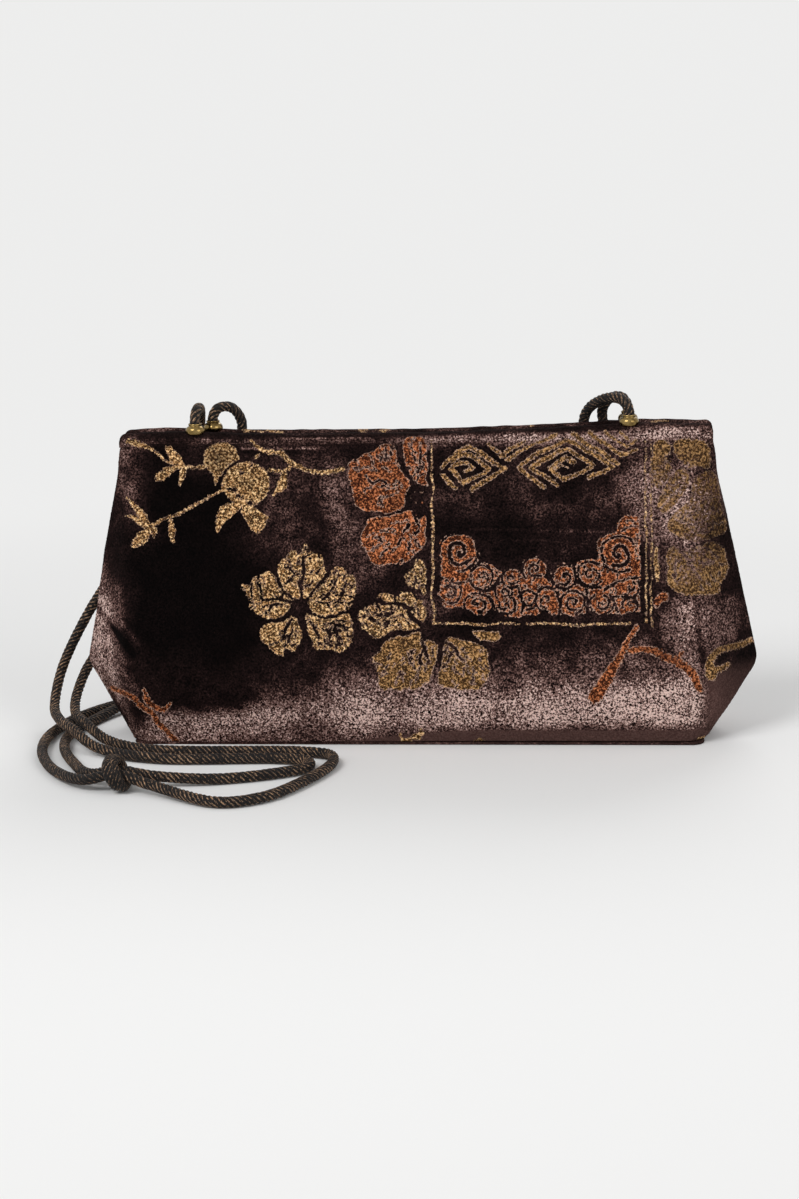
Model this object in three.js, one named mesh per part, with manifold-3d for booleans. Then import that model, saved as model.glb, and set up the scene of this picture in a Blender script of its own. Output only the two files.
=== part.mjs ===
// A velvet evening pochette: a soft body on a hinged, fabric-covered frame, with a strap of two
// twisted cords. Millimetres. X runs along the width, -Y is the front, +Z is up. The base stands on
// z = 0, centred on x and y.

import * as THREE from 'three';
import { mergeVertices } from 'three/addons/utils/BufferGeometryUtils.js';
import Module from 'manifold-3d';

const wasm = await Module();
wasm.setup();

// Body
const baseWidth = 227;
const baseDepth = 44;
const hipWidth = 270;
const hipHeight = 30;
const bellyDepth = 53;
const bellyHeight = 28;
const waistDepth = 35;
const waistHeight = 75;
const shoulderWidth = 238.4;
const shoulderHeight = 103;
const mouthWidth = 234.6;
const mouthDepth = 16;
const velvetThickness = 1;
const baseCorner = 5;
const hipCorner = 22;
const mouthCorner = 3.5;
const hipEdge = 3.2;
const softCorner = 6;
const profileSteps = 11;

// Rims: the velvet covers of the two frame bars. Their soft top line, as [share of half the width,
// height] rows, is low in the middle and higher on the right.
const rimThickness = 5.7;
const rimBottom = 118;
const rimEndRadius = 4;
const rimLine = [
  [-1, 122.8], [-0.86, 123.9], [-0.52, 122.5], [0.05, 122.3], [0.45, 123.6], [0.76, 125.4], [1, 124.6],
];

// Frame
const barHeight = 4.7;
const barThickness = 3.2;
const legPlate = 1.6;
const legGap = 0.6;
const legInset = 6.7;
const hingeHeight = 88;
const hingeEyeRadius = 3.4;
const hingeBore = 1.5;
const eyeInnerAngle = 0.3;
const eyeOuterAngle = 0.1;
const pinRadius = 1.2;
const pinHeadRadius = 2.3;
const pinHeadThickness = 0.7;
const magnetLength = 20;
const magnetThickness = 1.3;
const magnetHeight = 3.8;

// Cord caps and their studs
const capX = { front_left: -86.3, back_left: -80.8, front_right: 84.5, back_right: 84 };
const capRadius = 3.9;
const capDomeHeight = 3.4;
const capRingRadius = 2.8;
const capRingHeight = 1.8;
const capFoot = 0.87;
const socketClearance = 0.25;
const capSeatDepth = 1.4;
const studRadius = 0.7;
const studHole = 1;
const studReach = 2;
const studHeadRadius = 1.5;
const studHeadThickness = 0.8;

// Inside
const boardThickness = 1.2;
const boardEndMargin = 3;
const boardTop = 84;
const baseBoardThickness = 2;
const baseBoardMargin = 4;
const baseBoardSideMargin = 1;
const liningThickness = 0.7;
const liningEndMargin = 4.5;
const liningLegClearance = 2.4;
const liningCorner = 4;
const pocketWidth = 110;
const pocketBottom = 30;
const pocketTop = 70;
const pocketFaceY = 9.9;

// Strap: two cords, tied together near the front by a wrap
const cordDiameter = 4.2;
const cordSides = 8;
const stepsPerPoint = 2;
const knotLength = 7;
const knotX = -106.5;
const knotY = -86.6;
const knotZ = 6.9;
const knotStrandSpacing = 5;
const knotWall = 3;
const knotSlack = 1.1;

// Clearance between pieces that touch, and between the two halves of the velvet and of the lining
const gap = 0.3;
const seamGap = 0.3;

// How far a cutting shape runs past what it cuts, and the least height between two rings of points
const overrun = 1;
const leastStep = 1;

// Places that follow from the sizes above
const rimOuterY = mouthDepth / 2;
const rimInnerY = rimOuterY - rimThickness;
const rimTop = Math.max(...rimLine.map((p) => p[1]));
const channelTop = Math.min(...rimLine.map((p) => p[1])) - velvetThickness;
const barTop = channelTop - gap;
const barBottom = barTop - barHeight;
const barOuterY = rimOuterY - velvetThickness - gap;
const barMiddleY = barOuterY - barThickness / 2;
const barInnerY = barOuterY - barThickness;
const panelTop = rimBottom - gap;
const panelBottom = velvetThickness + gap;
const studHeadTop = barBottom - gap;
const liningTop = studHeadTop - studHeadThickness - gap;
const boardInset = velvetThickness + gap;
const liningInset = boardInset + boardThickness + gap;
const baseBoardBottom = velvetThickness + gap;
const baseBoardTop = baseBoardBottom + baseBoardThickness;
const baseLiningBottom = baseBoardTop + gap;
const baseLiningTop = baseLiningBottom + liningThickness;
const legOuterX = shoulderWidth / 2 - velvetThickness - legInset - gap;
const innerLegOuterX = legOuterX - legPlate - legGap;
const pinInnerEnd = innerLegOuterX - legPlate - gap - pinHeadThickness;
const baseLiningHalfWidth = baseWidth / 2 - baseCorner - liningEndMargin;
const topLiningHalfWidth = pinInnerEnd - liningLegClearance;
const boardHalfWidth = baseLiningHalfWidth - boardEndMargin;
const cordRadius = cordDiameter / 2;
const socketFloor = capDomeHeight - capSeatDepth + 2 * gap;

const paint = (color, roughness, metalness = 0) => ({ color, roughness, metalness });
const velvet = paint(0x2a171a, 0.9);
const steel = paint(0x8d9093, 0.4, 1);
const brass = paint(0xa8935a, 0.35, 1);
const board = paint(0xb9a27c, 0.9);
const lining = paint(0x4a3032, 0.6);
const magnetGrey = paint(0x55585c, 0.35, 1);
const cordBrown = paint(0x4a382c, 0.8);

const part = new THREE.Group();

function add(name, geometry, finish) {
  const mesh = new THREE.Mesh(geometry, new THREE.MeshStandardMaterial(finish));
  mesh.name = name;
  part.add(mesh);
  return mesh;
}

function toSolid(geometry) {
  const bare = geometry.index ? geometry.toNonIndexed() : geometry.clone();
  bare.deleteAttribute('normal');
  bare.deleteAttribute('uv');
  const merged = mergeVertices(bare, 1e-4);
  return new wasm.Manifold(new wasm.Mesh({
    numProp: 3,
    vertProperties: new Float32Array(merged.attributes.position.array),
    triVerts: new Uint32Array(merged.index.array),
  }));
}

function toGeometry(solid) {
  const mesh = solid.getMesh();
  const geometry = new THREE.BufferGeometry();
  geometry.setAttribute('position', new THREE.BufferAttribute(new Float32Array(mesh.vertProperties), 3));
  geometry.setIndex(new THREE.BufferAttribute(new Uint32Array(mesh.triVerts), 1));
  return geometry;
}

// A box between two corners
function block(low, high) {
  const geometry = new THREE.BoxGeometry(high[0] - low[0], high[1] - low[1], high[2] - low[2]);
  return geometry.translate((low[0] + high[0]) / 2, (low[1] + high[1]) / 2, (low[2] + high[2]) / 2);
}

// An upright cylinder
function post(x, y, low, high, radius, sides = 16) {
  const geometry = new THREE.CylinderGeometry(radius, radius, high - low, sides);
  return geometry.rotateX(Math.PI / 2).translate(x, y, (low + high) / 2);
}

// A cylinder along X
function rod(x0, x1, y, z, radius, sides = 16) {
  const geometry = new THREE.CylinderGeometry(radius, radius, x1 - x0, sides);
  return geometry.rotateZ(Math.PI / 2).translate((x0 + x1) / 2, y, z);
}

// A flat outline of [y, z] points, drawn out along X
function slab(outline, x0, x1) {
  const shape = new THREE.Shape(outline.map(([y, z]) => new THREE.Vector2(y, z)));
  const geometry = new THREE.ExtrudeGeometry(shape, { depth: x1 - x0, bevelEnabled: false });
  const turn = new THREE.Matrix4().makeBasis(
    new THREE.Vector3(0, 1, 0), new THREE.Vector3(0, 0, 1), new THREE.Vector3(1, 0, 0));
  return geometry.applyMatrix4(turn).translate(x0, 0, 0);
}

// A flat outline of [x, z] points, drawn out along Y
function panel(outline, y0, y1) {
  const shape = new THREE.Shape(outline.map(([x, z]) => new THREE.Vector2(x, z)));
  const geometry = new THREE.ExtrudeGeometry(shape, { depth: y1 - y0, bevelEnabled: false });
  return geometry.rotateX(Math.PI / 2).translate(0, y1, 0);
}

// The same geometry on the back: y changes sign
function toBack(geometry) {
  return toGeometry(toSolid(geometry).mirror([0, 1, 0]));
}

// The body's side view: half its depth at each height, from the base to the mouth
const sideProfile = new THREE.SplineCurve([
  new THREE.Vector2(0, baseDepth / 2),
  new THREE.Vector2(bellyHeight, bellyDepth / 2),
  new THREE.Vector2(waistHeight, waistDepth / 2),
  new THREE.Vector2(rimBottom, mouthDepth / 2),
]).getPoints(profileSteps);

// The value that a table of [place, value] rows gives between its rows
function along(table, at) {
  const found = table.findIndex(([x], k) => k > 0 && x >= at);
  const i = found < 0 ? table.length - 1 : found;
  const [x0, v0] = table[i - 1];
  const [x1, v1] = table[i];
  return v0 + (v1 - v0) * (at - x0) / (x1 - x0);
}

const depthTable = sideProfile.map((p) => [p.x, p.y]);
const widthTable = [
  [0, baseWidth / 2], [hipHeight, hipWidth / 2],
  [shoulderHeight, shoulderWidth / 2], [rimBottom, mouthWidth / 2],
];
const cornerTable = [[0, baseCorner], [hipHeight, hipCorner], [rimBottom, mouthCorner]];
const liningWidthTable = [
  [0, baseLiningHalfWidth], [waistHeight, topLiningHalfWidth], [rimBottom, topLiningHalfWidth],
];
const edgeTable = [
  [0, baseDepth / 2 - baseCorner], [hipHeight, hipEdge / 2], [rimBottom, mouthDepth / 2 - mouthCorner],
];
const levelHeights = [...depthTable, ...widthTable].map((p) => p[0]).sort((a, b) => a - b);

// The heights at which a piece between two heights has its rings of points
function levels(low, high) {
  const apart = levelHeights.filter((z, k) => k === 0 || z - levelHeights[k - 1] > leastStep);
  const inner = apart.filter((z) => z > low + leastStep && z < high - leastStep);
  return [low, ...inner, high];
}

// The front outline of the velvet at one height, from the left seam to the right seam
function velvetOutline(z) {
  const width = along(widthTable, z);
  const depth = along(depthTable, z);
  const corner = along(cornerTable, z);
  const edge = along(edgeTable, z);
  const tip = new THREE.Vector2(width, -edge);
  const knee = new THREE.Vector2(width - corner, -depth);
  const cut = Math.min(softCorner, 0.45 * tip.distanceTo(knee));
  const toTip = tip.clone().sub(knee).normalize();
  const onFront = knee.clone().add(new THREE.Vector2(-cut, 0));
  const onFacet = knee.clone().addScaledVector(toTip, cut);
  const middle = onFront.clone().add(onFacet).add(knee).add(knee).multiplyScalar(0.25);
  const right = [onFront, middle, onFacet, tip, new THREE.Vector2(width, -seamGap / 2)];
  const left = right.map((p) => new THREE.Vector2(-p.x, p.y)).reverse();
  return [...left, ...right];
}

// The front outline of the lining at one height
function liningOutline(z) {
  const depth = along(depthTable, z) - liningInset;
  const width = along(liningWidthTable, z);
  const right = [
    new THREE.Vector2(width - liningCorner, -depth),
    new THREE.Vector2(width, -depth + liningCorner),
    new THREE.Vector2(width, -seamGap / 2),
  ];
  const left = right.map((p) => new THREE.Vector2(-p.x, p.y)).reverse();
  return [...left, ...right];
}

// An outline moved inwards by a wall's thickness; its two ends stay on the seam
function inwards(outline, thickness) {
  return outline.map((point, k) => {
    const before = outline[Math.max(0, k - 1)];
    const after = outline[Math.min(outline.length - 1, k + 1)];
    const first = point.clone().sub(before);
    const second = after.clone().sub(point);
    if (k === 0 || k === outline.length - 1) {
      return new THREE.Vector2(point.x - Math.sign(point.x) * thickness, point.y);
    }
    const n1 = new THREE.Vector2(-first.y, first.x).normalize();
    const n2 = new THREE.Vector2(-second.y, second.x).normalize();
    const bisector = n1.clone().add(n2).normalize();
    return point.clone().addScaledVector(bisector, thickness / bisector.dot(n1));
  });
}

// The front half of a shell between two heights, open at the back
function halfShell(outlineAt, low, high, thickness) {
  const positions = [];
  const faces = [];
  const heights = levels(low, high);
  let count = 0;
  for (const z of heights) {
    const outer = outlineAt(z);
    const ring = [...outer, ...inwards(outer, thickness).reverse()];
    count = ring.length;
    for (const p of ring) positions.push(p.x, p.y, z);
  }
  for (let level = 0; level + 1 < heights.length; level += 1) {
    for (let k = 0; k < count; k += 1) {
      const a = level * count + k;
      const b = level * count + (k + 1) % count;
      faces.push(a, b, b + count, a, b + count, a + count);
    }
  }
  const last = (heights.length - 1) * count;
  for (let k = 0; k + 1 < count / 2; k += 1) {
    const mate = count - 1 - k;
    faces.push(k, mate, mate - 1, k, mate - 1, k + 1);
    faces.push(last + k, last + mate - 1, last + mate, last + k, last + k + 1, last + mate - 1);
  }
  const geometry = new THREE.BufferGeometry();
  geometry.setAttribute('position', new THREE.Float32BufferAttribute(positions, 3));
  geometry.setIndex(faces);
  return geometry;
}

// A sheet that follows the front of the body at a set distance inside it, as [y, z] points
function followFront(low, high, inset, thickness) {
  const heights = levels(low, high);
  const outer = heights.map((z) => [inset - along(depthTable, z), z]);
  const inner = heights.map((z) => [inset + thickness - along(depthTable, z), z]).reverse();
  return [...outer, ...inner];
}

function makeVelvetBody() {
  const front = halfShell(velvetOutline, panelBottom, panelTop, velvetThickness);
  add('front_velvet_panel', front, velvet);
  add('back_velvet_panel', toBack(front), velvet);
  const corner = baseCorner;
  const half = baseWidth / 2;
  const deep = baseDepth / 2;
  const outline = new THREE.Shape([
    [half - corner, -deep], [half, -deep + corner], [half, deep - corner], [half - corner, deep],
    [-half + corner, deep], [-half, deep - corner], [-half, -deep + corner], [-half + corner, -deep],
  ].map(([x, y]) => new THREE.Vector2(x, y)));
  const base = new THREE.ExtrudeGeometry(outline, { depth: velvetThickness, bevelEnabled: false });
  add('base_velvet_panel', base, velvet);
}

function rimHeightAt(x) {
  return along(rimLine, x / (mouthWidth / 2));
}

// The rim seen from the front, as [x, z] points: a soft top line between two rounded ends
function rimOutline() {
  const half = mouthWidth / 2;
  const middle = rimLine.slice(1, -1).map(([share, z]) => [share * half, z]);
  const end = (side) => [0, 0.25, 0.5].map((turn) => {
    const x = side * (half - rimEndRadius);
    const z = rimHeightAt(x) - rimEndRadius;
    const angle = turn * Math.PI;
    return [x + side * rimEndRadius * Math.cos(angle), z + rimEndRadius * Math.sin(angle)];
  });
  return [[-half, rimBottom], ...end(-1), ...middle, ...end(1).reverse(), [half, rimBottom]];
}

// A velvet-covered rim: a channel, open below, over its frame bar, with a seat and a stud hole for
// each cap
function makeRimCover(side) {
  let cover = toSolid(panel(rimOutline(), -rimOuterY, -rimInnerY));
  const wall = velvetThickness;
  const reach = legOuterX + gap;
  cover = cover.subtract(toSolid(block(
    [-reach, -rimOuterY + wall, rimBottom - overrun], [reach, -rimInnerY - wall, channelTop])));
  for (const name of [`${side}_left`, `${side}_right`]) {
    const x = capX[name];
    const seat = rimHeightAt(x) - capSeatDepth;
    const recess = post(x, -barMiddleY, seat, rimTop + overrun, capRadius + gap, 20);
    const hole = post(x, -barMiddleY, channelTop - overrun, seat + overrun, studHole, 12);
    cover = cover.subtract(toSolid(recess)).subtract(toSolid(hole));
  }
  return toGeometry(cover);
}

// A frame half: a straight bar with a leg at each end, whose eye takes the hinge pin
function makeFrameBar(side, outerX) {
  const leg = new THREE.Path();
  leg.moveTo(-barOuterY, barBottom + overrun);
  leg.lineTo(-barInnerY, barBottom + overrun);
  leg.lineTo(
    hingeEyeRadius * Math.cos(eyeInnerAngle), hingeHeight + hingeEyeRadius * Math.sin(eyeInnerAngle));
  leg.absarc(0, hingeHeight, hingeEyeRadius, eyeInnerAngle, Math.PI - eyeOuterAngle, true);
  const outline = leg.getPoints(6).map((p) => [p.x, p.y]);
  let frame = toSolid(block([-outerX, -barOuterY, barBottom], [outerX, -barInnerY, barTop]));
  for (const [x0, x1] of [[outerX - legPlate, outerX], [-outerX, -outerX + legPlate]]) {
    frame = frame.add(toSolid(slab(outline, x0, x1)));
    frame = frame.subtract(toSolid(rod(x0 - overrun, x1 + overrun, 0, hingeHeight, hingeBore, 12)));
  }
  for (const name of [`${side}_left`, `${side}_right`]) {
    const hole = post(capX[name], -barMiddleY, barBottom - overrun, barTop + overrun, studHole, 12);
    frame = frame.subtract(toSolid(hole));
  }
  const notch = block(
    [-magnetLength / 2 - gap, -barInnerY - magnetThickness - gap, barBottom - overrun],
    [magnetLength / 2 + gap, -barInnerY + overrun, barTop + overrun]);
  return toGeometry(frame.subtract(toSolid(notch)));
}

function makeMagnet() {
  const middle = (barTop + barBottom) / 2;
  return block(
    [-magnetLength / 2, -barInnerY - magnetThickness, middle - magnetHeight / 2],
    [magnetLength / 2, -barInnerY, middle + magnetHeight / 2]);
}

// A turned pin with a head at both ends of the two eyes that it holds together
function makeHingePin(side) {
  const outer = legOuterX + gap;
  const inner = pinInnerEnd + pinHeadThickness;
  const profile = [
    [0, pinInnerEnd], [pinHeadRadius, pinInnerEnd], [pinHeadRadius, inner],
    [pinRadius, inner], [pinRadius, outer], [pinHeadRadius, outer],
    [pinHeadRadius, outer + pinHeadThickness], [0, outer + pinHeadThickness],
  ].map(([r, x]) => new THREE.Vector2(r, x));
  const pin = new THREE.LatheGeometry(profile, 12).rotateZ(-Math.PI / 2).translate(0, 0, hingeHeight);
  return side < 0 ? pin.rotateZ(Math.PI) : pin;
}

// A cord cap: a low dome with a neck ring, bored from above for the cord and from below for its stud
function makeCap() {
  const top = capDomeHeight + capRingHeight;
  const socket = cordRadius + socketClearance;
  const profile = [
    [0, studReach + gap], [studHole, studReach + gap], [studHole, 0], [capRadius * capFoot, 0],
    [capRadius, capDomeHeight * 0.2], [capRadius * 0.97, capDomeHeight * 0.45],
    [capRadius * 0.8, capDomeHeight * 0.75], [capRingRadius * 0.9, capDomeHeight * 0.95],
    [capRingRadius, capDomeHeight + capRingHeight * 0.3],
    [capRingRadius, capDomeHeight + capRingHeight * 0.7],
    [capRingRadius * 0.94, top], [socket, top], [socket, capDomeHeight], [0, capDomeHeight],
  ].map(([r, z]) => new THREE.Vector2(r, z));
  return new THREE.LatheGeometry(profile, 20).rotateX(Math.PI / 2);
}

// The stud under a cap: its shank goes through the rim cover and the bar, its head lies under the bar
function makeStud(top) {
  const profile = [
    [0, studHeadTop - studHeadThickness], [studHeadRadius, studHeadTop - studHeadThickness],
    [studHeadRadius, studHeadTop], [studRadius, studHeadTop], [studRadius, top], [0, top],
  ].map(([r, z]) => new THREE.Vector2(r, z));
  return new THREE.LatheGeometry(profile, 12).rotateX(Math.PI / 2);
}

function makeFrame() {
  add('front_rim_cover', makeRimCover('front'), velvet);
  add('back_rim_cover', toBack(makeRimCover('back')), velvet);
  add('front_frame_bar', makeFrameBar('front', legOuterX), steel);
  add('back_frame_bar', toBack(makeFrameBar('back', innerLegOuterX)), steel);
  add('left_hinge_pin', makeHingePin(-1), steel);
  add('right_hinge_pin', makeHingePin(1), steel);
  add('front_magnet', makeMagnet(), magnetGrey);
  add('back_magnet', toBack(makeMagnet()), magnetGrey);
  for (const [name, x] of Object.entries(capX)) {
    const y = name.startsWith('front') ? -barMiddleY : barMiddleY;
    const bottom = rimHeightAt(x) - capSeatDepth + gap;
    add(`${name}_cord_cap`, makeCap(), brass).position.set(x, y, bottom);
    add(`${name}_cap_stud`, makeStud(bottom + studReach), steel).position.set(x, y, 0);
  }
}

function makeInside() {
  const sheet = followFront(baseBoardTop + gap, boardTop, boardInset, boardThickness);
  const front = slab(sheet, -boardHalfWidth, boardHalfWidth);
  add('front_stiffener_board', front, board);
  add('back_stiffener_board', toBack(front), board);
  const halfWidth = baseWidth / 2 - baseBoardMargin - baseCorner;
  const halfDepth = baseDepth / 2 - velvetThickness - gap - baseBoardSideMargin;
  const low = [-halfWidth, -halfDepth, baseBoardBottom];
  add('base_board', block(low, [halfWidth, halfDepth, baseBoardTop]), board);
  const liningDepth = baseDepth / 2 - liningInset - liningThickness;
  add('base_lining', block(
    [-baseLiningHalfWidth, -liningDepth, baseLiningBottom],
    [baseLiningHalfWidth, liningDepth, baseLiningTop]), lining);
  const shell = halfShell(liningOutline, baseLiningTop + gap, liningTop, liningThickness);
  add('front_lining', shell, lining);
  add('back_lining', toBack(shell), lining);
}

// The side view of a space in front of the lining, closed by an upright face, as [y, z] points
function pocketOutline(bottom, top, inset, faceY) {
  const back = levels(bottom, top).map((z) => [inset - along(depthTable, z), z]);
  return [...back, [-faceY, top], [-faceY, bottom]];
}

// A slip pocket on the back lining: an upright front, two sides and a bottom, open above and to the lining
function makePocket() {
  const inset = liningInset + liningThickness + gap;
  const half = pocketWidth / 2;
  const wall = liningThickness;
  const outside = pocketOutline(pocketBottom, pocketTop, inset, pocketFaceY - wall);
  const whole = toSolid(slab(outside, -half, half));
  const room = pocketOutline(pocketBottom + wall, pocketTop + overrun, inset - overrun, pocketFaceY);
  const hollow = toSolid(slab(room, -half + wall, half - wall));
  add('inner_slip_pocket', toBack(toGeometry(whole.subtract(hollow))), lining);
}

// The middle line of a cord. Its steps follow its points, so that they are short where the cord bends.
class CordRoute extends THREE.CatmullRomCurve3 {
  getUtoTmapping(u) {
    return u;
  }
}

// The front cord, from the left cap over the rims and down behind the left end, twice past it on the table,
// then along the back and up over the rims again to the right cap
const frontCordPoints = [
  [capX.front_left, -barMiddleY, rimHeightAt(capX.front_left) + socketFloor],
  [-86.3, -5.0, 128.2], [-86.0, -2.4, 131.3], [-85.8, 3.2, 131.8], [-86.5, 8.9, 128.3], [-88.2, 12.0, 120.5],
  [-124.5, 21.5, 66], [-139.5, 20.5, 43.5], [-149.5, 15, 23], [-150.8, 3.0, 9.8], [-145.6, -11.5, 7.6],
  [-137, -25.5, 7.1], [-124, -39.5, 3.4], [-98, -50.5, 2.4], [-50, -50.3, 2.4], [-39.5, -53.6, 2.4],
  [-37.6, -62.0, 2.4], [-48, -70.5, 2.4], [-70, -79, 2.4], [-93, -82.6, 4.4],
  [knotX, knotY + knotStrandSpacing / 2, knotZ],
  [-118, -79.6, 4.4], [-130, -57, 2.4], [-138.5, -35, 2.4], [-140.5, -14, 2.4], [-130, 23, 3.0],
  [-118, 40, 7.1], [-106, 51.5, 6.8], [-90, 61, 3.0], [-45, 73, 2.4], [60, 64, 3.6],
  [71, 48.5, 7.3], [78, 34.6, 11.5], [76.4, 29.2, 39], [66.4, 11.4, 121.5],
  [68.3, 9.0, 128.6], [75.6, 2.6, 133.9], [82.0, -2.9, 133.8], [84.4, -5.0, 130.2],
  [capX.front_right, -barMiddleY, rimHeightAt(capX.front_right) + socketFloor],
];

// The back cord, beside it: its loops on the table lie outside the front cord's
const backCordPoints = [
  [capX.back_left, barMiddleY, rimHeightAt(capX.back_left) + socketFloor],
  [-80.75, 5.15, 128.0], [-78.6, 6.2, 131.2], [-74.2, 8.3, 131.3], [-70.9, 10.1, 127.4],
  [-70.6, 11.5, 120.5], [-122, 26.5, 41], [-138, 20.5, 25], [-142.6, 10, 13.5],
  [-140.8, -3, 8.0], [-134.0, -15, 6.8],
  [-122, -29, 3.6], [-104, -38, 2.5], [-43, -40.5, 2.4], [-31.5, -45, 2.4], [-29.2, -57, 2.4],
  [-37, -82, 2.4], [-50, -103.5, 2.4], [-65, -109.3, 2.4], [-94, -92.4, 4.2],
  [knotX, knotY - knotStrandSpacing / 2, knotZ],
  [-119, -87.0, 4.2], [-134, -69.5, 2.4], [-145, -45, 2.4], [-148.7, -22, 2.4], [-147, -4, 2.4],
  [-141.5, 15, 2.4], [-126, 38, 2.4], [-104, 47, 2.4], [0, 49, 2.4], [70, 49, 2.5], [86, 41.5, 3.6],
  [91, 32, 14], [89.3, 28.9, 38], [74.4, 11.2, 121.5],
  [74.2, 10.0, 129.2], [77.6, 8.6, 133.4], [81.8, 6.3, 133.7], [83.95, 5.15, 130.4],
  [capX.back_right, barMiddleY, rimHeightAt(capX.back_right) + socketFloor],
];

function makeCord(points) {
  const route = new CordRoute(points.map((p) => new THREE.Vector3(...p)));
  const section = new THREE.Shape(Array.from({ length: cordSides }, (_, k) => {
    const angle = 2 * Math.PI * k / cordSides;
    return new THREE.Vector2(cordRadius * Math.cos(angle), cordRadius * Math.sin(angle));
  }));
  const steps = stepsPerPoint * (points.length - 1);
  return new THREE.ExtrudeGeometry(section, { steps, extrudePath: route, bevelEnabled: false });
}

// A long round outline about both strands at the knot, as [y, z] points
function roundBothStrands(radius) {
  const path = new THREE.Path();
  path.absarc(knotY + knotStrandSpacing / 2, knotZ, radius, -Math.PI / 2, Math.PI / 2, false);
  path.absarc(knotY - knotStrandSpacing / 2, knotZ, radius, Math.PI / 2, 3 * Math.PI / 2, false);
  return path.getPoints(8).slice(0, -1).map((p) => [p.x, p.y]);
}

// The wrap that ties the two cords together: a thick band about both
function makeKnot() {
  const bore = cordRadius + gap + knotSlack;
  const low = knotX - knotLength / 2;
  const high = knotX + knotLength / 2;
  const whole = toSolid(slab(roundBothStrands(bore + knotWall), low, high));
  const hole = slab(roundBothStrands(bore), low - overrun, high + overrun);
  return toGeometry(whole.subtract(toSolid(hole)));
}

function makeStrap() {
  add('front_strap_cord', makeCord(frontCordPoints), cordBrown);
  add('back_strap_cord', makeCord(backCordPoints), cordBrown);
  add('strap_knot', makeKnot(), cordBrown);
}

makeVelvetBody();
makeFrame();
makeInside();
makePocket();
makeStrap();

export default part;
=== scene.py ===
# A velvet evening pochette with a woven metallic ornament, on a hinged frame, and its strap of two
# twisted cords. Shapes are worked out in millimetres and handed to Blender in metres. X runs along
# the width, -Y is the front and +Z is up.
import math

import bpy
import numpy as np
from mathutils import Matrix, Vector


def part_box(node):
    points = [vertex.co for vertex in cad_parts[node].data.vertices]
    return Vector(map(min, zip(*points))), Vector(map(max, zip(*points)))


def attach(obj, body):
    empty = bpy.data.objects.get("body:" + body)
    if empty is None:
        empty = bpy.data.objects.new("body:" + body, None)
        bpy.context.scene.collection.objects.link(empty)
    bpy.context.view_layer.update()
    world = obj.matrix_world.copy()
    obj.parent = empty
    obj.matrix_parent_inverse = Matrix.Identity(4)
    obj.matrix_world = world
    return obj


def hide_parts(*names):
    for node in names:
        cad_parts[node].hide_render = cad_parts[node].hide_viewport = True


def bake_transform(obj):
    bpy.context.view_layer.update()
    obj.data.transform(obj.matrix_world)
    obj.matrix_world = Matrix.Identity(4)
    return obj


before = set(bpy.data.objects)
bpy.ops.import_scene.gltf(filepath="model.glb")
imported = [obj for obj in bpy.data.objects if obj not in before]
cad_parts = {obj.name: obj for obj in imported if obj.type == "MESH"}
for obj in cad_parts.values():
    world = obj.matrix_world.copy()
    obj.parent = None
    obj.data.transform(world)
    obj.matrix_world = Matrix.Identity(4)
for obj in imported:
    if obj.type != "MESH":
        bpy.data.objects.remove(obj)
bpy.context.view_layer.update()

MM = 0.001

# The photograph's frame in pixels, and the camera that fits it
PHOTO_WIDTH = 799
PHOTO_HEIGHT = 1199
FOCAL_PIXELS = 2499
CAMERA_AZIMUTH = math.radians(5.59)
CAMERA_ELEVATION = math.radians(12)
CAMERA_ROLL = math.radians(-1.38)
CAMERA_DISTANCE = 1000
CAMERA_TARGET = np.array([-7.3, 0, 54.2])
SENSOR_MM = 36
PIXELS_PER_MM = 2.5

CAPS = ("front_left", "back_left", "front_right", "back_right")

# The body that the rim and the caps of each side move with
BODY_OF = {"front": "front_frame_half", "back": "bag_body"}


def box_mm(node):
    """The lowest and highest corner of a CAD node, in millimetres."""
    low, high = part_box(node)
    return np.array(low) / MM, np.array(high) / MM


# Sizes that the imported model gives
PANEL_LOW, PANEL_HIGH = box_mm("front_velvet_panel")
RIM_LOW, RIM_HIGH = box_mm("front_rim_cover")
LINING_LOW, LINING_HIGH = box_mm("front_lining")
BAR_TOP = box_mm("front_frame_bar")[1][2]

# The body's shape, as [height, value] rows: half the depth, half the width, the length of the
# corner between front and side, and how far the side's edge lies from the seam
DEPTH_POINTS = [(0, 22), (28, 26.5), (75, 17.5), (118, 8)]
WIDTH_TABLE = [(0, 113.5), (30, 135), (103, 119.2), (118, 117.3)]
CORNER_TABLE = [(0, 5), (30, 22), (118, 3.5)]
EDGE_TABLE = [(0, 17), (30, 1.6), (118, 4.5)]

# How far each way the tables are averaged, and how far each half stays short of the seam's middle
TABLE_SOFTNESS = 3.0
SEAM_HALF_GAP = 0.15

# The lining: half its width, how far it lies inside the velvet, and its corner
LINING_HALF_WIDTH = 104
LINING_INSET = 2.8
LINING_CORNER = 4.0

# Ways to turn points over: left to right, front to back, and both
MIRROR_X = np.array([-1, 1, 1])
MIRROR_Y = np.array([1, -1, 1])
HALF_TURN = np.array([-1, -1, 1])


# The camera

def camera_axes():
    az, el, roll = CAMERA_AZIMUTH, CAMERA_ELEVATION, CAMERA_ROLL
    forward = np.array([-math.sin(az) * math.cos(el), math.cos(az) * math.cos(el), -math.sin(el)])
    right = np.array([math.cos(az), math.sin(az), 0])
    up = np.cross(right, forward)
    right, up = right * math.cos(roll) + up * math.sin(roll), up * math.cos(roll) - right * math.sin(roll)
    return right, up, forward


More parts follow.
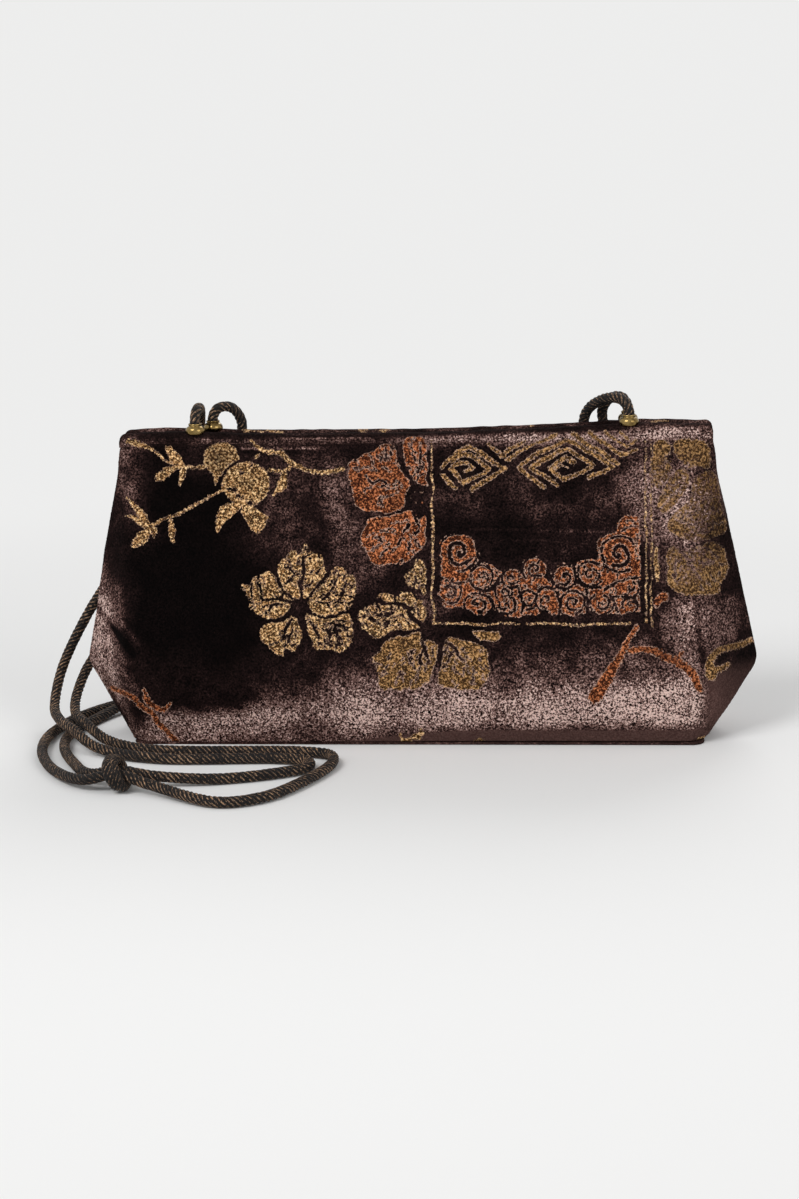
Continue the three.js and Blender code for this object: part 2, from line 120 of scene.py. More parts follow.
def project(points):
    """Where points in millimetres show in the photograph, in its pixels."""
    right, up, forward = camera_axes()
    ray = points - (CAMERA_TARGET - forward * CAMERA_DISTANCE)
    depth = ray @ forward
    x = PHOTO_WIDTH / 2 + FOCAL_PIXELS * (ray @ right) / depth
    y = PHOTO_HEIGHT / 2 - FOCAL_PIXELS * (ray @ up) / depth
    return x, y


def make_camera():
    right, up, forward = camera_axes()
    data = bpy.data.cameras.new("camera")
    data.lens = FOCAL_PIXELS / PHOTO_HEIGHT * SENSOR_MM
    data.sensor_width = SENSOR_MM
    data.clip_start = 0.01
    camera = bpy.data.objects.new("camera", data)
    place = Matrix(np.column_stack([right, up, -forward]).tolist()).to_4x4()
    place.translation = Vector((CAMERA_TARGET - forward * CAMERA_DISTANCE) * MM)
    camera.matrix_world = place
    bpy.context.scene.collection.objects.link(camera)
    bpy.context.scene.camera = camera


# Meshes from arrays of points

def make_object(name, points, faces, **values):
    """A smooth-shaded object from points in millimetres, with numbers or vectors kept on its points."""
    mesh = bpy.data.meshes.new(name)
    mesh.from_pydata((np.asarray(points, float) * MM).tolist(), [], faces)
    mesh.shade_smooth()
    for key, value in values.items():
        value = np.asarray(value, np.float32)
        if value.ndim == 2:
            mesh.attributes.new(key, "FLOAT_VECTOR", "POINT").data.foreach_set("vector", value.ravel())
        else:
            every = np.zeros(len(points), np.float32) + value
            mesh.attributes.new(key, "FLOAT", "POINT").data.foreach_set("value", every)
    mesh.update()
    obj = bpy.data.objects.new(name, mesh)
    bpy.context.scene.collection.objects.link(obj)
    return obj


def wear(obj, material):
    """Puts one material on an object."""
    obj.data.materials.clear()
    obj.data.materials.append(material)
    return obj


def make_piece(name, shape, material, slot, node, body=None, **values):
    """An object with its material, the CAD node that it stands for and the body it rides on. The slot is not
    used.
    """
    piece = wear(make_object(name, *shape, **values), material)
    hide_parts(node)
    if body:
        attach(piece, body)
    return piece


def fold_with_frame(piece):
    """Bakes a front cloth piece's placement into its points."""
    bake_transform(piece)


def grid_faces(rows, columns, start=0, round_rows=False):
    """Quads between rows of points. With round_rows each row closes on itself."""
    index = start + np.arange(rows * columns).reshape(rows, columns)
    after = np.roll(index, -1, axis=1)
    if not round_rows:
        index, after = index[:, :-1], after[:, :-1]
    quads = np.stack([index[:-1], after[:-1], after[1:], index[1:]], axis=-1)
    return quads.reshape(-1, 4).tolist()


def grid_normals(grid):
    """Unit normals of a grid of points, on the side where its quads face."""
    normal = np.cross(np.gradient(grid, axis=1), np.gradient(grid, axis=0))
    return normal / np.maximum(np.linalg.norm(normal, axis=2, keepdims=True), 1e-9)


def shell_mesh(outer, thickness, ratio):
    """Points and faces of a closed sheet: a fine outer grid, and an inner one of every ratio-th point."""
    rows, columns = outer.shape[:2]
    inner = (outer - grid_normals(outer) * thickness)[::ratio, ::ratio]
    low_rows, low_columns = inner.shape[:2]
    fine = np.arange(rows * columns).reshape(rows, columns)
    coarse = rows * columns + np.arange(low_rows * low_columns).reshape(low_rows, low_columns)
    faces = grid_faces(rows, columns)
    faces += [face[::-1] for face in grid_faces(low_rows, low_columns, rows * columns)]
    borders = (
        (fine[0], coarse[0], True), (fine[-1], coarse[-1], False),
        (fine[:, 0], coarse[:, 0], False), (fine[:, -1], coarse[:, -1], True))
    for outside, inside, turned in borders:
        for k in range(len(inside) - 1):
            ring = list(outside[k * ratio:(k + 1) * ratio + 1]) + [inside[k + 1], inside[k]]
            faces.append([int(v) for v in (ring[::-1] if turned else ring)])
    return np.concatenate([outer.reshape(-1, 3), inner.reshape(-1, 3)]), faces


def ring_tube(rings):
    """Points and faces of a tube from a stack of closed rings, with flat ends."""
    count, sides = rings.shape[:2]
    faces = grid_faces(count, sides, 0, True)
    faces.append(list(range(sides))[::-1])
    faces.append(list(range((count - 1) * sides, count * sides)))
    return rings.reshape(-1, 3), faces


def rounded_plate(low, high, corner, steps, rows):
    """A flat plate between two corners. Each row gives a ring's inset and its share of the height."""
    middle = (low + high) / 2
    reach = (high - low) / 2 - corner
    rings = []
    for inset, share in rows:
        arcs = [
            around(middle[0] + side_x * reach[0], middle[1] + side_y * reach[1], corner - inset,
                   np.radians(np.linspace(start, start + 90, steps)))
            for side_x, side_y, start in ((1, -1, -90), (1, 1, 0), (-1, 1, 90), (-1, -1, 180))]
        rings.append(at_height(np.vstack(arcs), low[2] + share * (high[2] - low[2])))
    return ring_tube(np.array(rings))


# Curves and fields

def around(cx, cy, radius, angle):
    """The point, or points, on a circle."""
    return np.stack([cx + radius * np.cos(angle), cy + radius * np.sin(angle)], axis=-1)


def at_height(ring, z):
    return np.insert(ring, 2, z, axis=1)


RIPPLE_WAVES = 7


def ripple(x, y, wavelength, seed):
    """A smooth uneven field between about -1 and 1, the same each run."""
    rng = np.random.default_rng(seed)
    total = np.zeros(np.broadcast(x, y).shape)
    for angle, phase, stretch in rng.uniform(0, 1, (RIPPLE_WAVES, 3)):
        turn = 2 * math.pi * angle
        length = wavelength * (0.7 + 0.8 * stretch)
        total += np.sin(2 * math.pi * ((x * math.cos(turn) + y * math.sin(turn)) / length + phase))
    return total / math.sqrt(RIPPLE_WAVES * 2)


def sloped(value, start, end):
    """0 before start, 1 after end, smooth between."""
    t = np.clip((value - start) / (end - start), 0, 1)
    return t * t * (3 - 2 * t)


def spot(x, y, cx, cy, rx, ry):
    """A soft round patch about a middle."""
    return np.exp(-((x - cx) / rx) ** 2 - ((y - cy) / ry) ** 2)


def patches(x, y, rows):
    """Soft round patches added up, from rows of middle, reach both ways and amount."""
    return sum(amount * spot(x, y, cx, cy, rx, ry) for cx, cy, rx, ry, amount in rows)


def evenly(a, b, start, end, t):
    """What lies at t on the straight way from a at start to b at end."""
    return ((end - t) * a + (t - start) * b) / (end - start)


def centripetal(points, per_span):
    """A centripetal Catmull-Rom curve through points."""
    p = np.array(points, float)
    p = np.vstack([2 * p[0] - p[1], p, 2 * p[-1] - p[-2]])
    out = []
    for a, b, c, d in zip(p, p[1:], p[2:], p[3:]):
        t1, t2, t3 = np.cumsum([np.linalg.norm(b - a) ** 0.5, np.linalg.norm(c - b) ** 0.5,
                                np.linalg.norm(d - c) ** 0.5])
        t = np.linspace(t1, t2, per_span, endpoint=False)[:, None]
        ab = evenly(a, b, 0, t1, t)
        bc = evenly(b, c, t1, t2, t)
        cd = evenly(c, d, t2, t3, t)
        abc = evenly(ab, bc, 0, t2, t)
        bcd = evenly(bc, cd, t1, t3, t)
        out.append(evenly(abc, bcd, t1, t2, t))
    return np.vstack([*out, p[-2:-1]])


def even_steps(line, step):
    """The same line with points about step apart, and how far along it each lies."""
    length = np.concatenate([[0], np.cumsum(np.linalg.norm(np.diff(line, axis=0), axis=1))])
    at = np.linspace(0, length[-1], max(2, int(round(length[-1] / step)) + 1))
    return np.column_stack([np.interp(at, length, column) for column in line.T]), at


# Materials

def colour(red, green, blue):
    """A colour written as 0 to 255 display values, as the linear values that a socket takes."""
    def linear(v):
        v = v / 255
        return v / 12.92 if v <= 0.04045 else ((v + 0.055) / 1.055) ** 2.4
    return (linear(red), linear(green), linear(blue), 1)


class Wire:
    """One output of a node. Sums and products of wires are worked out by further nodes."""

    def __init__(self, nodes, node, out):
        self.nodes = nodes
        self.node = node
        self.out = out

    def math(self, operation, other=0.5, clamp=False):
        return self.nodes.node("ShaderNodeMath", {0: self, 1: other}, operation=operation, use_clamp=clamp)

    def __add__(self, other):
        return self.math("ADD", other)

    def __sub__(self, other):
        return self.math("SUBTRACT", other)

    def __rsub__(self, other):
        return self.nodes.node("ShaderNodeMath", {0: other, 1: self}, operation="SUBTRACT")

    def __mul__(self, other):
        return self.math("MULTIPLY", other)

    def fit(self, low, high, to_low=0.0, to_high=1.0):
        """The value between low and high taken smoothly to one between to_low and to_high."""
        return self.nodes.node(
            "ShaderNodeMapRange",
            {"Value": self, "From Min": low, "From Max": high, "To Min": to_low, "To Max": to_high},
            interpolation_type="SMOOTHSTEP")


class Nodes:
    """A node tree, and short calls that add nodes to it."""

    def __init__(self, tree):
        self.tree = tree

    def feed(self, socket, value):
        if isinstance(value, Wire):
            self.tree.links.new(value.node.outputs[value.out], socket)
        else:
            socket.default_value = value

    def node(self, kind, inputs, out=0, **settings):
        made = self.tree.nodes.new(kind)
        for key, value in settings.items():
            setattr(made, key, value)
        for key, value in inputs.items():
            self.feed(made.inputs[key], value)
        return Wire(self, made, out)

    def mix(self, factor, a, b):
        return self.node("ShaderNodeMix", {0: factor, 6: a, 7: b}, out=2, data_type="RGBA")

    def ramp(self, value, *stops):
        ramp = self.node("ShaderNodeValToRGB", {0: value})
        elements = ramp.node.color_ramp.elements
        while len(elements) < len(stops):
            elements.new(0.5)
        for element, (position, tone) in zip(elements, stops):
            element.position = position
            element.color = tone
        return ramp

    def seen_directly(self):
        """1 for camera, glossy and transmission rays, which see the pale background."""
        seen = self.node("ShaderNodeLightPath", {}, out="Is Camera Ray")
        path = seen.node
        for ray in ("Glossy", "Transmission"):
            seen = seen.math("MAXIMUM", Wire(self, path, f"Is {ray} Ray"))
        return seen


class Finish(Nodes):
    """A material with one Principled shader, and short calls for the textures that feed it."""

    def __init__(self, name, **constants):
        self.material = bpy.data.materials.new(name)
        self.material.use_nodes = True
        super().__init__(self.material.node_tree)
        self.shader = Wire(self, self.tree.nodes["Principled BSDF"], 0)
        self.place = self.node("ShaderNodeTexCoord", {}, out="Object")
        self.set(**constants)

    def set(self, **values):
        """Gives the shader constants or wires, and gives back the material."""
        for key, value in values.items():
            self.feed(self.shader.node.inputs[key.replace("_", " ")], value)
        return self.material

    def value(self, name, out="Fac"):
        return self.node("ShaderNodeAttribute", {}, out=out, attribute_name=name)

    def noise(self, scale, detail=2.0, roughness=0.5, stretch=None, place=None):
        vector = place or self.place
        if stretch:
            vector = self.node("ShaderNodeVectorMath", {0: vector, 1: stretch}, operation="MULTIPLY")
        return self.node(
            "ShaderNodeTexNoise",
            {"Vector": vector, "Scale": scale, "Detail": detail, "Roughness": roughness}, out="Fac")

    def bump(self, height, strength, distance_mm):
        inputs = {"Height": height, "Strength": strength, "Distance": distance_mm * MM}
        return self.node("ShaderNodeBump", inputs)


# The velvet's tones, from painted shade to painted sheen, picked by the pile's painted sheen level
VELVET_TONES = (
    (0.0, colour(4, 3, 3)), (0.25, colour(38, 25, 24)), (0.5, colour(88, 64, 59)),
    (0.75, colour(142, 112, 105)), (1.0, colour(222, 193, 183)),
)
SMOOTH_PLUM = colour(84, 60, 56)
SMOOTH_PLUM_LIT = colour(118, 89, 83)
PLUM_SHADE = colour(16, 10, 9)

# Each metal's dark gaps, its plain and bright threads, the bright ones partly painted glints, how strongly
# its beaded edge catches a painted highlight, and how far it spreads past its drawn outline, in millimetres
METALS = {
    "gold": (colour(34, 23, 15), colour(176, 125, 74), colour(255, 218, 164), 0.3, 0.06),
    "copper": (colour(32, 15, 10), colour(134, 69, 39), colour(216, 136, 90), 0.7, 0.02),
    "olive": (colour(40, 27, 17), colour(138, 98, 57), colour(208, 164, 112), 0.6, 0.07),
}
# The pale beaded edge thread, partly a painted highlight
EDGE_BEAD_HIGHLIGHT = colour(224, 188, 168)


def velvet_finish(name, ornament):
    """Crushed velvet, whose pile is dark along the line of sight and mauve where it lies over; both are
    painted into its colour as painted shade and painted sheen.

    The points say how the pile lies, with the sheen and shade painted on it (nap), where it is
    pressed smooth (pressed) and how deep they are inside the gold, copper and olive motifs, in millimetres.
    """
    f = Finish(name, Sheen_Weight=0.006, Sheen_Roughness=0.4, Sheen_Tint=colour(190, 158, 150),
               Specular_IOR_Level=0.03)
    fine = f.noise(1300, 2.0, 0.75)
    medium = f.noise(460, 2.0, 0.65)
    soft = f.noise(120, 3.0, 0.6)
    nap = f.value("nap")
    pile = (fine - 0.5) * 8.4 + (medium - 0.5) * 1.5
    mottle = (soft - 0.5) * nap.fit(0.25, 0.5, 2.1, 0.8) + f.noise(32) * 0.8
    # painted sheen and painted shade: the pile's lightness follows the painted sheen of the nap field
    lit = nap * (mottle + 0.5)
    # painted glints: sparse light fibres, brighter where the painted sheen is stronger
    painted_glints = f.noise(1350, 1.0).fit(0.53, 0.63) * lit.fit(0.04, 0.3, 0.0, 0.72)
    level = (lit * (pile + 1.0)).math("MAXIMUM", painted_glints, clamp=True)
    smooth = f.mix(fine.fit(0.3, 0.75), SMOOTH_PLUM, SMOOTH_PLUM_LIT)
    # painted shade: pressed pile goes towards a shade tone where the painted sheen is low
    smooth = f.mix(nap.fit(-0.2, 0.55), PLUM_SHADE, smooth)
    tone = f.mix(f.value("pressed"), f.ramp(level, *VELVET_TONES), smooth)
    height = fine + medium * 0.8
    roughness = fine.fit(0.2, 0.8, 0.97, 0.84)
    if ornament:
        tone, height, roughness = woven_metals(f, tone, height, roughness)
    return f.set(Base_Color=tone, Roughness=roughness, Normal=f.bump(height, 0.6, 0.5))


def woven_metals(f, tone, height, roughness):
    """Worn metal threads over a velvet, with ragged edges, bare places, dark veins and pits; bright grains
    and edges partly painted highlight, and painted shade where less lit.
    """
    ragged = (f.noise(880, 2.0, 0.7) - 0.5) * 2.4
    grain = f.noise(1180, 2.0, 0.7)
    worn_area = f.noise(200, 3.0, 0.6)
    shine = f.value("shine")
    bare = f.noise(640, 2.0, 0.7).fit(0.4, 0.58) * shine.fit(0.45, 0.85, 1.0, 0.0)
    whole = 1.0 - bare * 0.85
    vein = (f.noise(460, 2.0, 0.6) - 0.5).math("ABSOLUTE")
    veins = vein.fit(0.016, 0.05, 0.95, 0.0) * worn_area.fit(0.3, 0.48) * shine.fit(0.6, 0.95, 0.25, 1.0)
    pits = (grain - worn_area * 0.14).fit(0.37, 0.46, 0.95, 0.0)
    beads = f.noise(1150, 1.0).fit(0.36, 0.5)
    for metal, (dark, plain, bright, edge_light, spread) in METALS.items():
        inside = f.value(metal) + spread + ragged
        cover = inside.fit(0.02, 0.2) * whole
        # painted glints: bright grains of thread stand partly for highlights on the metal
        thread = f.mix(grain.fit(0.48, 0.66), plain, bright)
        thread = f.mix(pits.math("MAXIMUM", veins), thread, dark)
        # painted highlight along the beaded edge just inside each motif
        edge = inside.fit(0.04, 0.12) * inside.fit(0.26, 0.42, edge_light, 0.0)
        thread = f.mix(edge * beads, thread, EDGE_BEAD_HIGHLIGHT)
        # painted shade: the metal goes to its dark tone where it is marked less lit, as well as bare where
        # worn
        tone = f.mix(cover, tone, f.mix(shine, dark, thread))
        height = height - cover * 0.8
        roughness = roughness - cover * 0.3
    return tone, height, roughness


def rope_finish():
    """Dull brown silk twist: tan painted highlights on the strands' crowns, nearly black painted shade
    between them.
    """
    f = Finish("rope", Sheen_Weight=0.04, Sheen_Roughness=0.5, Specular_IOR_Level=0.25)
    lay = f.value("lay", "Vector")
    yarn = f.noise(2.2, 2.0, 0.6, (1, 1, 0.16), lay)
    # painted glints: the crowns' highlight broken into short dashes
    glint_dashes = f.noise(1.25, 1.0, 0.5, (0.55, 0.55, 1.0), lay)
    fuzz = f.noise(1700, 2.0, 0.6)
    lit = f.value("crown").math("POWER", 1.6) * yarn.fit(0.3, 0.75, 0.45, 1.3) + (fuzz - 0.5) * 0.5
    lit = lit * f.noise(60).fit(0.3, 0.7, 0.75, 1.1)
    lit = lit.math("MULTIPLY", glint_dashes.fit(0.36, 0.62, 0.4, 1.3), clamp=True)
    # painted highlight on the crowns and painted shade in the grooves between strands
    tone = f.ramp(
        lit, (0.0, colour(3, 2, 2)), (0.38, colour(13, 9, 8)), (0.68, colour(46, 32, 25)),
        (1.0, colour(172, 138, 108)))
    return f.set(Base_Color=tone, Roughness=fuzz.fit(0.3, 0.7, 0.62, 0.85),
                 Normal=f.bump(yarn + fuzz * 0.5, 0.55, 0.25))


def metal_finish(name, tone, worn, roughness, scratch=(1, 1, 1)):
    """A metal with fine scratches along one way and slight tarnish."""
    f = Finish(name, Metallic=1.0)
    lines = f.noise(900, 3.0, 0.6, scratch)
    tarnish = f.noise(240, 3.0, 0.6)
    return f.set(Base_Color=f.mix(tarnish.fit(0.42, 0.75), tone, worn), Normal=f.bump(lines, 0.25, 0.05),
                 Roughness=lines.fit(0.25, 0.75, roughness - 0.08, roughness + 0.12))


def lining_finish():
    """Plum satin: fine ribs across, with slow changes of sheen."""
    f = Finish("satin_lining", Sheen_Weight=0.15, Specular_IOR_Level=0.45)
    ribs = f.node("ShaderNodeTexWave", {"Vector": f.place, "Scale": 620.0, "Distortion": 0.8}, out="Fac",
                  bands_direction="Z")
    threads = f.noise(1900, 2.0, 0.6, (0.12, 1, 1))
    tone = f.mix(f.noise(26).fit(0.3, 0.7), colour(62, 38, 42), colour(88, 58, 61))
    tone = f.mix(threads.fit(0.35, 0.7) * 0.35, tone, colour(122, 88, 88))
    return f.set(Base_Color=tone, Roughness=threads.fit(0.3, 0.7, 0.36, 0.55),
                 Normal=f.bump(ribs + threads, 0.25, 0.08))


def board_finish():
    """Grey-brown pressed fibre board."""
    f = Finish("fibre_board")
    fibres = f.noise(650, 4.0, 0.7, (1, 1, 0.3))
    flecks = f.node("ShaderNodeTexVoronoi", {"Vector": f.place, "Scale": 480.0}, out="Distance")
    tone = f.mix(fibres.fit(0.35, 0.7), colour(128, 112, 88), colour(178, 162, 134))
    tone = f.mix(flecks.fit(0.06, 0.16, 0.5, 0.0), tone, colour(86, 72, 54))
    return f.set(Base_Color=tone, Roughness=fibres.fit(0.3, 0.7, 0.84, 0.96),
                 Normal=f.bump(fibres, 0.5, 0.2))


# Cords

# The two cords' routes in millimetres. Each begins in its left cap, crosses the rims, falls behind the
# left end, lies twice in loops on the table, and comes up over the back rim to its right cap.
CORD_DIAMETER = 4.2
SOCKET_ABOVE_CAP = 3.7
FRONT_ROUTE = [
    (-86.3, -5.0, 128.2), (-86.0, -2.4, 131.3), (-85.8, 3.2, 131.8), (-86.5, 8.9, 128.3),
    (-88.2, 12.0, 120.5), (-124.5, 21.5, 66), (-139.5, 20.5, 43.5), (-149.5, 15, 23),
    (-150.8, 3.0, 9.8), (-145.6, -11.5, 7.6), (-137, -25.5, 7.1), (-124, -39.5, 3.4),
    (-98, -50.5, 2.4), (-50, -50.3, 2.4), (-39.5, -53.6, 2.4), (-37.6, -62.0, 2.4),
    (-48, -70.5, 2.4), (-70, -79, 2.4), (-93, -82.6, 4.4), (-106.5, -84.1, 6.9),
    (-118, -79.6, 4.4), (-130, -57, 2.4), (-138.5, -35, 2.4), (-140.5, -14, 2.4), (-130, 23, 3.0),
    (-118, 40, 7.1), (-106, 51.5, 6.8), (-90, 61, 3.0), (-45, 73, 2.4), (60, 64, 3.6),
    (71, 48.5, 7.3), (78, 34.6, 11.5), (76.4, 29.2, 39), (66.4, 11.4, 121.5), (68.3, 9.0, 128.6),
    (75.6, 2.6, 133.9), (82.0, -2.9, 133.8), (84.4, -5.0, 130.2),
]
BACK_ROUTE = [
    (-80.75, 5.15, 128.0), (-78.6, 6.2, 131.2), (-74.2, 8.3, 131.3), (-70.9, 10.1, 127.4),
    (-70.6, 11.5, 120.5), (-122, 26.5, 41), (-138, 20.5, 25), (-142.6, 10, 13.5), (-140.8, -3, 8.0),
    (-134.0, -15, 6.8), (-122, -29, 3.6), (-104, -38, 2.5), (-43, -40.5, 2.4), (-31.5, -45, 2.4),
    (-29.2, -57, 2.4), (-37, -82, 2.4), (-50, -103.5, 2.4), (-65, -109.3, 2.4), (-94, -92.4, 4.2),
    (-106.5, -89.1, 6.9), (-119, -87.0, 4.2), (-134, -69.5, 2.4), (-145, -45, 2.4), (-148.7, -22, 2.4),
    (-147, -4, 2.4), (-141.5, 15, 2.4), (-126, 38, 2.4), (-104, 47, 2.4), (0, 49, 2.4), (70, 49, 2.5),
    (86, 41.5, 3.6), (91, 32, 14), (89.3, 28.9, 38), (74.4, 11.2, 121.5), (74.2, 10.0, 129.2),
    (77.6, 8.6, 133.4), (81.8, 6.3, 133.7), (83.95, 5.15, 130.4),
]
ROPE_STRANDS = 6
ROPE_PITCH = 12.6
ROPE_SIDES = 42
ROPE_STEP = 0.45
ROPE_GROOVE = 0.22


def frames_along(line):
    """Two unit vectors square to the line at each point, which turn as little as they can."""
    ahead = np.gradient(line, axis=0)
    ahead /= np.linalg.norm(ahead, axis=1, keepdims=True)
    side = np.cross(ahead[0], (0, 0, 1) if abs(ahead[0][2]) < 0.9 else (1, 0, 0))
    sides = []
    for direction in ahead:
        side = side - direction * (side @ direction)
        side = side / np.linalg.norm(side)
        sides.append(side)
    return np.array(sides), np.cross(ahead, sides)


def twisted(line, at, radius, pitch, sides):
    """The mesh of a rope of twisted strands, with each point's place in the lay and height on a strand."""
    side, other = frames_along(line)
    angle = np.linspace(0, 2 * math.pi, sides, endpoint=False)[None, :]
    along = at[:, None]
    turn = angle - 2 * math.pi * along / pitch
    crown = np.abs(np.cos(ROPE_STRANDS * turn / 2)) ** 0.75
    wander = 1 + 0.02 * np.sin(along * 0.9 + 2 * angle) + 0.015 * np.sin(along * 2.3)
    reach = np.minimum(radius * (1 - ROPE_GROOVE + ROPE_GROOVE * crown) * wander, radius)
    rings = (line[:, None] + side[:, None] * (reach * np.cos(angle))[..., None]
             + other[:, None] * (reach * np.sin(angle))[..., None])
    lay = np.stack([np.cos(turn) * radius * 3, np.sin(turn) * radius * 3, along + 0 * turn], axis=-1)
    return ring_tube(rings), {"lay": lay.reshape(-1, 3), "crown": crown.ravel()}


def socket_point(cap):
    """The middle of the floor of a cap's socket, where its cord starts."""
    low, high = box_mm(f"{cap}_cord_cap")
    return (*((low + high) / 2)[:2], low[2] + SOCKET_ABOVE_CAP)


def make_cord(side, route, finish):
    """One cord of the strap, from its left cap to its right cap."""
    start = socket_point(f"{side}_left")
    points = [start, *route, socket_point(f"{side}_right")]
    line, at = even_steps(centripetal(points, 40), ROPE_STEP)
    shape, values = twisted(line, at, CORD_DIAMETER / 2, ROPE_PITCH, ROPE_SIDES)
    cord = make_piece(f"{side}_cord_rope", shape, finish, "cord", f"{side}_strap_cord", **values)
    return cord


KNOT_TURNS = 3
KNOT_STRAND_RADIUS = 1.75
KNOT_LEAN = 0.34
KNOT_WIDTH = 4.2
KNOT_HALF_STRAIGHT = 2.5
KNOT_ABOVE_TABLE = 0.3


def make_knot(finish):
    """The wrap about both cords: a cord's end wound round them, leaning, with its end tucked under."""
    low, high = box_mm("strap_knot")
    centre = (low + high) / 2
    reach = (high[2] - low[2]) / 2 - KNOT_STRAND_RADIUS - 0.1
    angle = np.linspace(0, 2 * math.pi * KNOT_TURNS, 90 * KNOT_TURNS)
    y = centre[1] + reach * np.cos(angle) + KNOT_HALF_STRAIGHT * np.tanh(3 * np.cos(angle))
    rise = reach * np.sin(angle) * (1 + 0.05 * np.sin(2.3 * angle))
    across = KNOT_WIDTH * (angle / angle[-1] - 0.5) - KNOT_LEAN * rise + 0.25 * np.sin(1.7 * angle)
    line, at = even_steps(np.column_stack([centre[0] + across, y, centre[2] + rise]), 0.4)
    (points, faces), values = twisted(line, at, KNOT_STRAND_RADIUS, ROPE_PITCH * 0.8, 32)
    points[:, 2] = np.maximum(points[:, 2], KNOT_ABOVE_TABLE)
    return make_piece("knot_wrap", (points, faces), finish, "cord", "strap_knot", **values)


def make_strap():
    finish = rope_finish()
    knot = make_knot(finish)
    front = make_cord("front", FRONT_ROUTE, finish)
    back = make_cord("back", BACK_ROUTE, finish)
    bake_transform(front)
    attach(back, "bag_body")
    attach(knot, "bag_body")


# The body's surfaces

def smooth_profile(points, per_span=80):
    """Catmull-Rom through [height, value] points, as arrays of heights and values."""
    p = np.array(points, float)
    p = np.vstack([p[0], p, p[-1]])
    t = np.linspace(0, 1, per_span, endpoint=False)[:, None]
    spans = [0.5 * (2 * b + (c - a) * t + (2 * a - 5 * b + 4 * c - d) * t ** 2
                    + (3 * b - a - 3 * c + d) * t ** 3) for a, b, c, d in zip(p, p[1:], p[2:], p[3:])]
    return np.vstack([*spans, p[-1:]]).T


PROFILE = smooth_profile(DEPTH_POINTS)


def half_depth(z):
    return np.interp(z, *PROFILE)


def from_table(table, at, soften, count=9):
    """The value of [place, value] rows at each place, averaged over soften millimetres each way."""
    places, values = np.array(table).T
    return np.mean([np.interp(at + o, places, values) for o in np.linspace(-soften, soften, count)], axis=0)


def bend(a, b, c, count):
    """A quadratic curve from a to c that leans to b, for rows of plan points."""
    t = np.linspace(0, 1, count, endpoint=False)[None, :, None]
    return (1 - t) ** 2 * a[:, None] + 2 * t * (1 - t) * b[:, None] + t ** 2 * c[:, None]


def straight(a, c, count):
    return bend(a, (a + c) / 2, c, count)


def towards(a, b, distance):
    """The points at a distance from a on the way to b."""
    way = b - a
    return a + way / np.linalg.norm(way, axis=1, keepdims=True) * distance[:, None]


def plan_points(x, y):
    return np.stack(np.broadcast_arrays(x, y), axis=-1)


def mirrored(*runs):
    """Rows of plan points from the left seam to the right one, from the runs of the right half."""
    right = np.concatenate(runs, axis=1)
    return np.concatenate([right[:, ::-1] * (-1, 1), right[:, 1:]], axis=1)


def raised(plan, heights):
    """A grid of points from rows of plan points, one row per height."""
    return np.dstack([plan, np.broadcast_to(heights[:, None], plan.shape[:2])])


FRONT_COLUMNS = 236
KNEE_COLUMNS = 20
FACET_COLUMNS = 28
TIP_COLUMNS = 6
SIDE_COLUMNS = 6
KNEE_CUT = 8.0
TIP_CUT = 2.2


def velvet_plan(z):
    """Rows of plan points of the front, from the left seam to the right seam, one row per height."""
    width, corner, edge = [
        from_table(table, z, TABLE_SOFTNESS) for table in (WIDTH_TABLE, CORNER_TABLE, EDGE_TABLE)]
    depth = half_depth(z)
    knee = plan_points(width - corner, -depth)
    tip = plan_points(width, -edge)
    seam = plan_points(width - 0.3, -SEAM_HALF_GAP)
    facet = np.linalg.norm(tip - knee, axis=1)
    cut = np.minimum(KNEE_CUT, 0.45 * facet)
    small = np.minimum(TIP_CUT, 0.45 * np.minimum(facet, edge - SEAM_HALF_GAP))
    before_knee = plan_points(width - corner - cut, -depth)
    after_knee = towards(knee, tip, cut)
    before_tip = towards(tip, knee, small)
    after_tip = towards(tip, seam, small)
    return mirrored(
        straight(plan_points(0, -depth), before_knee, FRONT_COLUMNS),
        bend(before_knee, knee, after_knee, KNEE_COLUMNS), straight(after_knee, before_tip, FACET_COLUMNS),
        bend(before_tip, tip, after_tip, TIP_COLUMNS), straight(after_tip, seam, SIDE_COLUMNS),
        seam[:, None])


# Ornament: shapes in the pixels of the photograph's frame. A shape is its box and its signed distance.

FAR = 1e3


def to_segment(x, y, a, b):
    """How far places lie from the line between two points, and where along it, from 0 to 1."""
    (ax, ay), (dx, dy) = a, np.subtract(b, a)
    t = np.clip(((x - ax) * dx + (y - ay) * dy) / max(dx * dx + dy * dy, 1e-6), 0, 1)
    return np.hypot(x - ax - t * dx, y - ay - t * dy), t


def stroke(points, widths, smooth=True):
    """A line through points, whose width changes along it."""
    path = np.array(points, float)
    half = np.broadcast_to(np.array(widths, float) / 2, len(path))
    if smooth and len(path) > 2:
        per = 5
        half = np.interp(np.arange((len(path) - 1) * per + 1) / per, np.arange(len(path)), half)
        path = centripetal(path, per)
    reach = half.max()

    def distance(x, y):
        best = np.full(x.shape, FAR)
        for a, b, wide_a, wide_b in zip(path, path[1:], half, half[1:]):
            away, t = to_segment(x, y, a, b)
            best = np.minimum(best, away - (wide_a + (wide_b - wide_a) * t))
        return best
    return (*(path.min(0) - reach), *(path.max(0) + reach)), distance


def strokes(*rows, smooth=True):
    """Strokes from rows of points, each with its width where that isn't the one before."""
    shapes = []
    for row in rows:
        widths = []
        for _, _, *width in row:
            widths += width or widths[-1:]
        shapes.append(stroke([point[:2] for point in row], widths, smooth))
    return shapes


